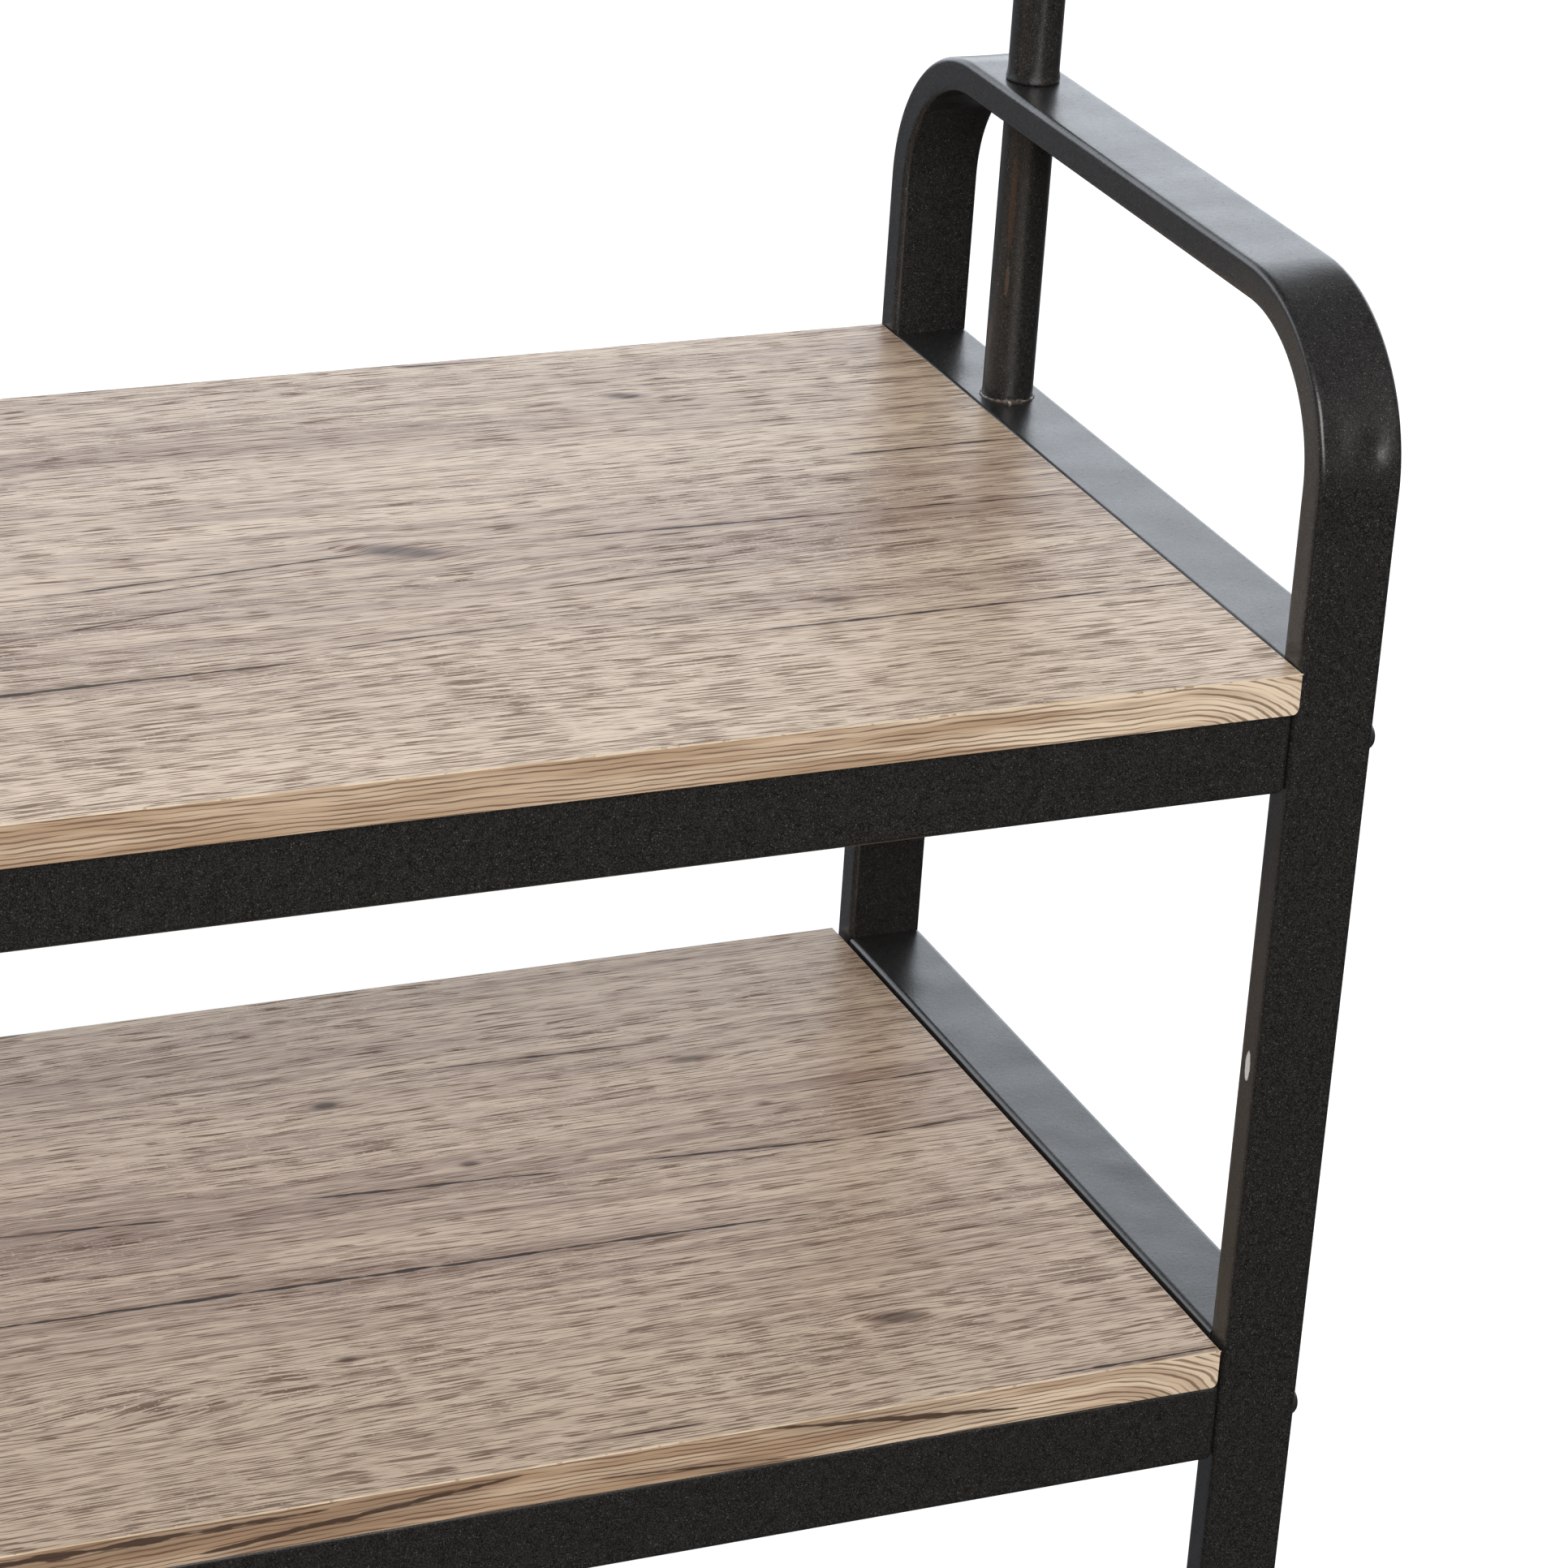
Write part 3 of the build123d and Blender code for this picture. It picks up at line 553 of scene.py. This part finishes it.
# Dents in each hoop's outer face: place along the centreline from the front bend's lower end,
# place across from the tube's middle, reach along, reach across, depth. Millimetres.
FRONT_DENTS = (
    (14.0, 5.0, 5.0, 4.0, 1.3),
    (18.0, -8.5, 7.0, 5.0, 0.6),
    (-14.0, -9.5, 9.0, 5.0, 0.5),
    (-30.0, 4.0, 16.0, 10.0, 0.25),
    (40.0, -4.0, 12.0, 12.0, 0.35),
)
BEND_CRUSH = 0.55 * MM      # how far the outer face sinks at the middle of a bend
WRINKLE = 0.35 * MM         # height of the wrinkles on the inside of a bend
WRINKLE_PITCH = 17 * MM
WANDER = 0.05 * MM          # how far the faces wander from flat
WANDER_SIZE = 26 * MM
LEG_STEPS, BEND_STEPS, TOP_STEPS = 90, 44, 40


def hoop_stations():
    """Centreline stations from the front foot to the back foot, and the leg's length.

    Each station is (place, outward direction, distance along, share of the bend)."""
    middle = HOOP_BEND - TUBE_THIN / 2
    front = HOOP_LOW.y + TUBE_THIN / 2
    back = HOOP_HIGH.y - TUBE_THIN / 2
    spring = HOOP_HIGH.z - HOOP_BEND
    stations, travelled = [], 0.0

    def add(y, z, out_y, out_z, bend):
        nonlocal travelled
        place = Vector((0, y, z))
        if stations:
            travelled += (place - stations[-1][0]).length
        stations.append((place, Vector((0, out_y, out_z)), travelled, bend))

    leg = spring - HOOP_LOW.z
    top = back - front - 2 * middle
    for k in range(LEG_STEPS):
        add(front, HOOP_LOW.z + leg * k / LEG_STEPS, -1, 0, 0)
    for k in range(BEND_STEPS):
        angle = k / BEND_STEPS * pi / 2
        out, up = -cos(angle), sin(angle)
        add(front + middle + middle * out, spring + middle * up, out, up, sin(2 * angle))
    for k in range(TOP_STEPS):
        add(front + middle + top * k / TOP_STEPS, spring + middle, 0, 1, 0)
    for k in range(BEND_STEPS):
        angle = k / BEND_STEPS * pi / 2
        out, up = sin(angle), cos(angle)
        add(back - middle + middle * out, spring + middle * up, out, up, sin(2 * angle))
    for k in range(LEG_STEPS + 1):
        add(back, spring - leg * k / LEG_STEPS, 1, 0, 0)
    return stations, leg


def end_hoop(side, material):
    """Bent flat tube with the marks that cold bending leaves in it."""
    low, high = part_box(f"end_hoop_{side}")
    mirror = 1 if side == "right" else -1
    centre_x = (low.x + high.x) / 2
    section = tube_section(TUBE_WIDE, TUBE_THIN, TUBE_CORNER, 16, 6)
    stations, leg = hoop_stations()
    seed = 11.0 * mirror
    rings = []
    for place, out, travelled, bend in stations:
        ring = []
        along = travelled - leg
        for u, v in section:
            flat_u = max(0.0, 1 - (2 * u / TUBE_WIDE) ** 2)
            push = 0.0
            if v > TUBE_THIN * 0.3:
                push -= BEND_CRUSH * bend * flat_u
                for at, across, reach, spread, depth in FRONT_DENTS:
                    da = (along / MM - at) / reach
                    du = (u / MM - across) / spread
                    push -= depth * MM * exp(-(da * da + du * du))
            if v < -TUBE_THIN * 0.3:
                ripple = sin(travelled / WRINKLE_PITCH * 2 * pi + seed) * WRINKLE
                push += (ripple + BEND_CRUSH * 0.6) * bend * flat_u
            wander = noise.noise(Vector((u, travelled, seed)) / WANDER_SIZE) * WANDER
            point = place + out * (v + push + wander * flat_u)
            ring.append((centre_x + mirror * u, point.y, point.z))
        rings.append(ring)
    points, faces = loft(rings)
    piece = new_mesh(f"bent_hoop_{side}", points, faces, material)
    flatten_normals(piece)
    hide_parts(f"end_hoop_{side}")


# ---- boards --------------------------------------------------------------------------------------
TOP_SLOT, BAND_SLOT, SHEET_EDGE_SLOT, BACK_SLOT = range(4)


def laminated_board(level, top_material, band_material, edge_material, back_material):
    """Board with a laminate face, edge banding, and rounded lower corners at its ends."""
    low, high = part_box(level)
    work = bmesh.new()
    bmesh.ops.create_cube(work, size=1.0)
    for vertex in work.verts:
        for axis in range(3):
            middle = (low[axis] + high[axis]) / 2
            vertex.co[axis] = middle + vertex.co[axis] * (high[axis] - low[axis])

    def edges_where(test):
        """Edges whose middle and direction pass the test."""
        found = []
        for edge in work.edges:
            start, end = (vertex.co for vertex in edge.verts)
            if test((start + end) / 2, end - start):
                found.append(edge)
        return found

    ends = edges_where(lambda at, run: abs(run.y) > 0.1 and at.z < low.z + MM)
    bmesh.ops.bevel(work, geom=ends, offset=BOARD_LOWER_ROUND, segments=6, profile=0.5, affect="EDGES")
    rim = edges_where(lambda at, run: at.z > high.z - 0.01 * MM)
    bmesh.ops.bevel(work, geom=rim, offset=BOARD_ARRIS, segments=2, profile=0.5, affect="EDGES")
    half_depth = (high.y - low.y) / 2

    def on_band(at, run):
        return abs(abs(at.y - low.y - half_depth) - half_depth) < 1e-6 and at.z < high.z - 2 * BOARD_ARRIS

    band_edges = edges_where(on_band)
    bmesh.ops.bevel(work, geom=band_edges, offset=BAND_ARRIS, segments=2, profile=0.5, affect="EDGES")
    mesh = bpy.data.meshes.new(f"{level}_laminated")
    bmesh.ops.recalc_face_normals(work, faces=work.faces)
    for face in work.faces:
        face.smooth = True
        if face.normal.z > 0.99:
            face.material_index = TOP_SLOT
        elif face.normal.z > 0.1:
            face.material_index = SHEET_EDGE_SLOT
        elif face.normal.z < -0.99:
            face.material_index = BACK_SLOT
        else:
            face.material_index = BAND_SLOT
    work.to_mesh(mesh)
    work.free()
    for material in (top_material, band_material, edge_material, back_material):
        mesh.materials.append(material)
    piece = bpy.data.objects.new(f"{level}_laminated", mesh)
    bpy.context.collection.objects.link(piece)
    flatten_normals(piece)
    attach(piece, "bench")
    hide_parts(level)


SLIVER_SIDES = 5
BURR_INSET = 0.25 * MM      # from the board's front face back to the slivers' roots


def edge_burrs(level, material, seed, count):
    """Torn slivers on the front edge's corners, the largest at the right-hand end."""
    low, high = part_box(level)
    draw = random.Random(seed)
    points, faces = [], []

    def sliver(at, length, thick, lean):
        first = len(points)
        tip = Vector((lean * length, -0.35 * length, length * 0.9))
        last = first + SLIVER_SIDES
        for across, above in circle(SLIVER_SIDES):
            points.append(at + Vector((across, 0.4 * above, above)) * thick)
        points.append(at + tip)
        faces.extend((first + k, first + (k + 1) % SLIVER_SIDES, last) for k in range(SLIVER_SIDES))
        faces.append(tuple(last - 1 - k for k in range(SLIVER_SIDES)))

    for _ in range(count):
        x = draw.uniform(low.x + 0.02, high.x - 0.01)
        upper = draw.random() < 0.45
        z = high.z - 0.5 * MM if upper else low.z + 0.45 * MM
        at = Vector((x, low.y + BURR_INSET, z))
        length = draw.uniform(0.3, 0.8) * MM * (0.5 if upper else -0.8)
        thick = draw.uniform(0.08, 0.2) * MM
        sliver(at, length, thick, draw.uniform(-1, 1))
    corner = Vector((high.x - 0.5 * MM, low.y + BURR_INSET, high.z - 0.35 * MM))
    for lean in (-0.5, 0.1, 0.6):
        sliver(corner + Vector((lean * MM, 0, 0)), draw.uniform(0.25, 0.36) * MM, 0.28 * MM, lean)
    new_mesh(f"{level}_burrs", points, faces, material)


# ---- round tubes and welds -----------------------------------------------------------------------
def ring_at(centre, radius, sides=48):
    return [centre + Vector((across, ahead, 0)) * radius for across, ahead in circle(sides)]


# Flare of the upright's cut end: millimetres wider than the tube, millimetres above the end.
FLARE = ((-0.5, 0.0), (0.25, 0.15), (0.5, 0.7), (0.42, 1.6), (0.12, 3.0), (0.0, 5.0))
UPRIGHT_STEPS = 24


def upright_tube(side, material):
    """Round upright, flared a little where it was cut at its lower end."""
    low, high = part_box(f"upright_{side}")
    centre = Vector(((low.x + high.x) / 2, (low.y + high.y) / 2, 0))
    profile = [(POST_RADIUS + wider * MM, above * MM) for wider, above in FLARE]
    length = high.z - low.z
    profile += [(POST_RADIUS, length * k / UPRIGHT_STEPS) for k in range(1, UPRIGHT_STEPS)]
    profile += [(POST_RADIUS, length - 1.2 * MM), (POST_RADIUS - 0.35 * MM, length)]
    rings = [ring_at(centre + Vector((0, 0, low.z + z)), radius) for radius, z in profile]
    points, faces = loft(rings)
    piece = new_mesh(f"flared_upright_{side}", points, faces, material)
    flatten_normals(piece)
    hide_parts(f"upright_{side}")


BEAD_SIDES = 10
NUGGET = 2.4                # how much larger the foot's bead is at its nugget
NUGGET_SPREAD = 17          # degrees round the post
NUGGET_AT = {"right": -105, "left": -75}  # degrees from +X towards +Y
POST_BEAD_STEPS, RAIL_BEAD_STEPS = 56, 26
POST_BEAD_SEED, RAIL_BEAD_SEED = 9, 3
RAIL_WELD_INSET = 3 * MM


def weld_bead(name, path, closed, size, lump, seed, material):
    """Irregular bead along a path of points. lump(i) scales its size at each point."""
    draw = random.Random(seed)
    rings = []
    count = len(path)
    for i, place in enumerate(path):
        ahead = path[(i + 1) % count] if closed or i < count - 1 else place + (place - path[i - 1])
        behind = path[i - 1] if closed or i > 0 else place - (ahead - place)
        run = (ahead - behind).normalized()
        side = run.cross(Vector((0, 0, 1))).normalized()
        up = side.cross(run).normalized()
        ripple = 1 + 0.22 * sin(i * 1.35) + draw.uniform(-0.1, 0.1)
        radius = size * ripple * lump(i)
        turns = circle(BEAD_SIDES)
        rings.append([place + (side * across + up * above) * radius for across, above in turns])
    points, faces = loft(rings, closed=closed)
    new_mesh(name, points, faces, material)


def post_welds(side, material):
    """Beads round the short post, at the end rail with a nugget towards the front, and under the hoop."""
    low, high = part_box(f"post_socket_{side}")
    centre = Vector(((low.x + high.x) / 2, (low.y + high.y) / 2, 0))
    for place, z, size in (("foot", low.z + 0.2 * MM, 0.75 * MM), ("head", high.z - 0.2 * MM, 0.6 * MM)):
        path = ring_at(centre + Vector((0, 0, z)), POST_RADIUS + 0.1 * MM, POST_BEAD_STEPS)

        def lump(i, place=place):
            away = abs((i * 360 / POST_BEAD_STEPS - NUGGET_AT[side] + 180) % 360 - 180)
            return 1.0 + (NUGGET * exp(-(away / NUGGET_SPREAD) ** 2) if place == "foot" else 0.0)

        weld_bead(f"post_weld_{place}_{side}", path, True, size, lump, POST_BEAD_SEED, material)


def end_rail_welds(level, side, material):
    """Beads under both ends of an end rail, where it meets the legs."""
    low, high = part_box(f"{level}_end_rail_{side}")
    start, step = low.x + RAIL_WELD_INSET, (high.x - low.x - 2 * RAIL_WELD_INSET) / (RAIL_BEAD_STEPS - 1)
    for row, y in (("front", low.y), ("back", high.y)):
        path = [Vector((start + step * k, y, low.z + 0.1 * MM)) for k in range(RAIL_BEAD_STEPS)]
        name = f"{level}_rail_weld_{row}_{side}"
        weld_bead(name, path, False, 1.1 * MM, lambda i: 1.0, RAIL_BEAD_SEED, material)


# ---- stage ---------------------------------------------------------------------------------------
FLOOR_REACH = 60.0
KEY_PLACE = (-0.5, -3.6, 2.2)
KEY_AIM = (0.3, 0.0, 0.45)
KEY_SIZE = (2.8, 2.2)
KEY_POWER = 165
KEY_COLOUR = (1.0, 0.97, 0.94)
BACK_WALL = (2.48, 2.64, 2.84, 1)
FRONT_WALL = (0.2, 0.2, 0.2, 1)
CEILING = (0.2, 0.2, 0.21, 1)
FLOOR_BEHIND = (0.2, 0.21, 0.225, 1)
FLOOR_IN_FRONT = (0.045, 0.042, 0.04, 1)
FLOOR_TONES = ((0.88, 0.88, 0.88, 1), (0.92, 0.92, 0.92, 1))
FLOOR_GLOW = 0.55
WHITE = (1, 1, 1, 1)


def softbox(name, place, target, size, power, colour):
    """Rectangular area light that faces a target."""
    data = bpy.data.lights.new(name, "AREA")
    data.shape = "RECTANGLE"
    data.size, data.size_y = size
    data.energy = power
    data.color = colour
    lamp = bpy.data.objects.new(name, data)
    bpy.context.collection.objects.link(lamp)
    lamp.location = place
    lamp.rotation_euler = (Vector(target) - Vector(place)).to_track_quat("-Z", "Y").to_euler()
    lamp.visible_camera = False


def studio():
    """Plain pale floor that reflections don't see, bright wall behind, dim room and soft key in front."""
    world = bpy.data.worlds.new("studio")
    world.use_nodes = True
    bpy.context.scene.world = world
    tree = world.node_tree
    sky = Shader("studio", tree)
    background = tree.nodes["Background"]
    direction = sky.add("SeparateXYZ", {0: sky.add("TexCoord").outputs["Generated"]})
    back, up = direction.outputs[1], direction.outputs[2]
    behind = sky.step(back, 0.0, 0.5)
    overhead = sky.step(up, 0.42, 0.68)
    wall = sky.mix(behind, FRONT_WALL, BACK_WALL)
    above = sky.mix(overhead, wall, CEILING)
    sweep = sky.mix(sky.step(back, 0.25, 0.62), FLOOR_IN_FRONT, FLOOR_BEHIND)
    room = sky.mix(sky.step(up, -0.06, 0.04), sweep, above)
    seen = sky.mix(sky.add("LightPath").outputs["Is Camera Ray"], room, WHITE)
    tree.links.new(seen, background.inputs["Color"])

    mesh = bpy.data.meshes.new("floor")
    corners = [(x * FLOOR_REACH, y * FLOOR_REACH, 0) for x, y in ((-1, -1), (1, -1), (1, 1), (-1, 1))]
    mesh.from_pydata(corners, [], [(0, 1, 2, 3)])
    floor = bpy.data.objects.new("floor", mesh)
    bpy.context.collection.objects.link(floor)
    pale = Shader("pale_floor")
    place = pale.vector(*pale.position_mm())
    cloud = pale.noise(place, 400, detail=3)
    colour = pale.mix(cloud, *FLOOR_TONES)
    pale.put(pale.surface.inputs["Base Color"], colour)
    pale.surface.inputs["Roughness"].default_value = 0.9
    pale.surface.inputs["Emission Color"].default_value = WHITE
    pale.surface.inputs["Emission Strength"].default_value = FLOOR_GLOW
    mesh.materials.append(pale.material)
    floor.visible_glossy = False
    floor.visible_diffuse = False

    softbox("key", KEY_PLACE, KEY_AIM, KEY_SIZE, KEY_POWER, KEY_COLOUR)


CAMERA_LENS = 121.08
CAMERA_AZIMUTH = 24.197     # degrees from +Y towards +X
CAMERA_TILT = -24.554       # degrees above the horizon
CAMERA_ROLL = 3.746         # degrees
CAMERA_FROM_HOOP = Vector((-0.8163, -1.4045, 0.5623))  # from the right-hand hoop's inner front top corner


def camera():
    """Camera at the left front, looking down at the right-hand end of the bench."""
    data = bpy.data.cameras.new("camera")
    data.sensor_width = 36.0
    data.lens = CAMERA_LENS
    data.clip_end = 200
    piece = bpy.data.objects.new("camera", data)
    bpy.context.collection.objects.link(piece)
    corner = Vector((HOOP_LOW.x, HOOP_LOW.y, HOOP_HIGH.z))
    azimuth, tilt, roll = radians(CAMERA_AZIMUTH), radians(CAMERA_TILT), radians(CAMERA_ROLL)
    look = Vector((sin(azimuth) * cos(tilt), cos(azimuth) * cos(tilt), sin(tilt)))
    level_right = Vector((cos(azimuth), -sin(azimuth), 0))
    level_up = level_right.cross(look)
    right = level_right * cos(roll) + level_up * sin(roll)
    up = right.cross(look)
    turn = Matrix((right, up, -look)).transposed()
    piece.matrix_world = Matrix.Translation(corner + CAMERA_FROM_HOOP) @ turn.to_4x4()
    bpy.context.scene.camera = piece


# ---- build ---------------------------------------------------------------------------------------
# Knots: u, v, length, width, darkness, tilt. Cracks: start u and v, end u and v, width.
# Dark zones: u, v, half length, half width, strength. All in millimetres.
SEAT_KNOTS = (
    (-257, 173, 34, 13, 0.8, 0.35), (-240, 147, 34, 14, 0.0, 0.1),
    (-127, 296, 18, 7, 0.75, 0.2), (-128, 96, 20, 6, 0.6, 0.0),
    (-520, 120, 34, 11, 0.8, 0.2), (-640, 250, 28, 10, 0.7, -0.2),
    (-760, 60, 22, 8, 0.7, 0.1),
)
SEAT_CRACKS = (
    (-470, 88.5, -312, 91, 1.2), (-173, 77, 6, 79, 0.75), (-210, 171, 6, 165, 0.8),
    (-75, 220, 6, 221, 0.8), (-400, 163, -262, 174, 0.7), (-362, 158, -290, 165, 0.45),
    (-200, 344, -160, 343, 0.8), (-408, 130, -330, 143, 0.6), (-222, 129, -141, 134, 0.6),
    (-306, 99, -232, 102, 0.55), (-620, 205, -480, 199, 0.9), (-790, 140, -640, 146, 1.1),
    (-860, 300, -700, 296, 0.8),
)
SEAT_ZONES = (
    (-290, 292, 150, 26, 0.17), (-260, 165, 120, 22, 0.15), (-60, 160, 110, 26, 0.12),
    (-160, 95, 80, 16, 0.1), (-390, 95, 70, 14, 0.1), (-300, 235, 160, 14, -0.12),
    (-120, 250, 130, 20, -0.08), (-150, 40, 300, 26, -0.1), (-620, 160, 160, 40, 0.12),
)
SHELF_KNOTS = (
    (-246, 262, 12, 6, 0.85, 0.0), (-99, 259, 22, 6, 0.7, 0.0), (-209, 204, 8, 4, 0.85, 0.0),
    (-101, 55, 22, 8, 0.85, 0.1), (-296, 84, 8, 4, 0.8, 0.0), (-372, 70, 60, 22, 0.0, 0.05),
    (-85, 217, 8, 4, 0.6, 0.0), (-376, 199, 16, 7, 0.5, 0.3), (-620, 90, 32, 11, 0.8, 0.2),
    (-560, 240, 26, 9, 0.7, -0.1),
)
SHELF_CRACKS = (
    (-490, 141, -96, 132.5, 1.15), (-396, 201, -325, 194, 1.0),
    (-280, 196, -178, 188.5, 0.9), (-160, 189, -62, 182, 0.85), (-66, 183, 6, 184, 0.6),
    (-200, 278, -105, 276, 0.75), (-70, 222, 6, 223, 0.5), (-720, 200, -540, 206, 1.0),
    (-860, 90, -700, 84, 0.9), (-240, 9.5, -190, 9, 0.5), (-70, 2.5, 6, 3.0, 1.0),
)
SHELF_ZONES = (
    (-330, 185, 140, 30, 0.16), (-100, 200, 120, 18, 0.1), (-300, 300, 180, 20, 0.1),
    (-200, 120, 200, 14, 0.1), (-380, 60, 60, 30, 0.08), (-160, 60, 120, 30, -0.08),
    (-650, 150, 160, 40, 0.1), (-390, 170, 110, 70, 0.12), (-220, 150, 150, 50, 0.05),
)
SHELF_BAND_CRACKS = (
    (-375, 3.0, -262, 12.5, 1.3), (-470, 11.5, -330, 12.0, 1.5), (-176, 14.5, -78, 5.5, 1.2),
    (-235, 6.0, -165, 1.5, 0.5),
)
NO_TINT = (1.0, 1.0, 1.0, 1.0)
SEAT_TINT = (0.86, 0.845, 0.83, 1.0)
# The shelf's tints are painted shade: darker copies of the seat's laminate for the shade under the seat.
SHELF_PAINTED_SHADE = (0.755, 0.73, 0.715, 1.0)
SHELF_BAND_PAINTED_SHADE = (0.95, 0.93, 0.92, 1.0)

coat = powder_coat("powder_coat")
# A chip in the paint of the right-hand front leg, on the face towards the bench's middle.
chip_at = (HOOP_LOW.x / MM, HOOP_LOW.y / MM + 6.6, HOOP_HIGH.z / MM - 274)
chip = (chip_at, (2.2, 1.9, 6.5), (0.95, 0.95, 0.92, 1.0), 0.6)
hoop_coat = powder_coat("powder_coat_hoop", marks=(chip,))
post_low, post_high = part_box("post_socket_right")
post_x, post_y = (post_low.x + post_high.x) / 2 / MM, (post_low.y + post_high.y) / 2 / MM
post_top, post_foot = post_high.z / MM, post_low.z / MM
stain = (post_x - 7.3, post_y - 6.2)
stains = (
    ((*stain, post_top - 32), (1.4, 1.4, 22), faint(srgb(92, 64, 44), 0.3), 1.5),
    ((stain[0] + 0.5, stain[1], post_top - 62), (0.9, 0.9, 8), faint(srgb(116, 92, 74), 0.35), 1.4),
    ((post_x - 9.4, post_y - 1.0, post_foot + 26), (1.0, 1.2, 8), faint(srgb(90, 70, 56), 0.25), 1.6),
)
post_coat = powder_coat("powder_coat_post", marks=stains)
fastener = black_fastener("black_oxide")
zinc = zinc_steel("zinc_plate")
nylon = moulded_nylon("nylon")
weld = weld_metal("weld_scale")
burr = burr_material("torn_fibre")
backing = backing_paper("backing_paper")
sheet_edge = laminate_edge("laminate_edge")

for node_name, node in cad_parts.items():
    if "bolts" in node_name or "screws" in node_name:
        finish = fastener
    elif node_name.startswith("foot_stem") or node_name == "rail_weld_nuts":
        finish = zinc
    elif node_name.startswith(("foot_pad", "leg_plug")):
        finish = nylon
    elif node_name.startswith("post_socket"):
        finish = post_coat
    else:
        finish = coat
    node.data.materials.clear()
    node.data.materials.append(finish)

for side in SIDES:
    end_hoop(side, hoop_coat)
    upright_tube(side, coat)
    post_welds(side, weld)
    for level in ("seat", "shelf"):
        end_rail_welds(level, side, coat)

seat_top = oak_top("oak_seat", "seat_board", SEAT_KNOTS, SEAT_CRACKS, SEAT_ZONES, 1.0, SEAT_TINT)
seat_band = edge_band("band_seat", "seat_board", (), 2.0, NO_TINT)
laminated_board("seat_board", seat_top, seat_band, sheet_edge, backing)
# The shelf's materials are darkened as painted shade under the seat.
shelf_top = oak_top("oak_shelf_painted_shade", "shelf_board", SHELF_KNOTS, SHELF_CRACKS, SHELF_ZONES, 4.0, SHELF_PAINTED_SHADE)
shelf_band = edge_band("band_shelf_painted_shade", "shelf_board", SHELF_BAND_CRACKS, 6.0, SHELF_BAND_PAINTED_SHADE)
laminated_board("shelf_board", shelf_top, shelf_band, sheet_edge, backing)
edge_burrs("seat_board", burr, 21, 34)
edge_burrs("shelf_board", burr, 22, 26)

studio()
camera()
bpy.context.scene.view_settings.view_transform = "Standard"
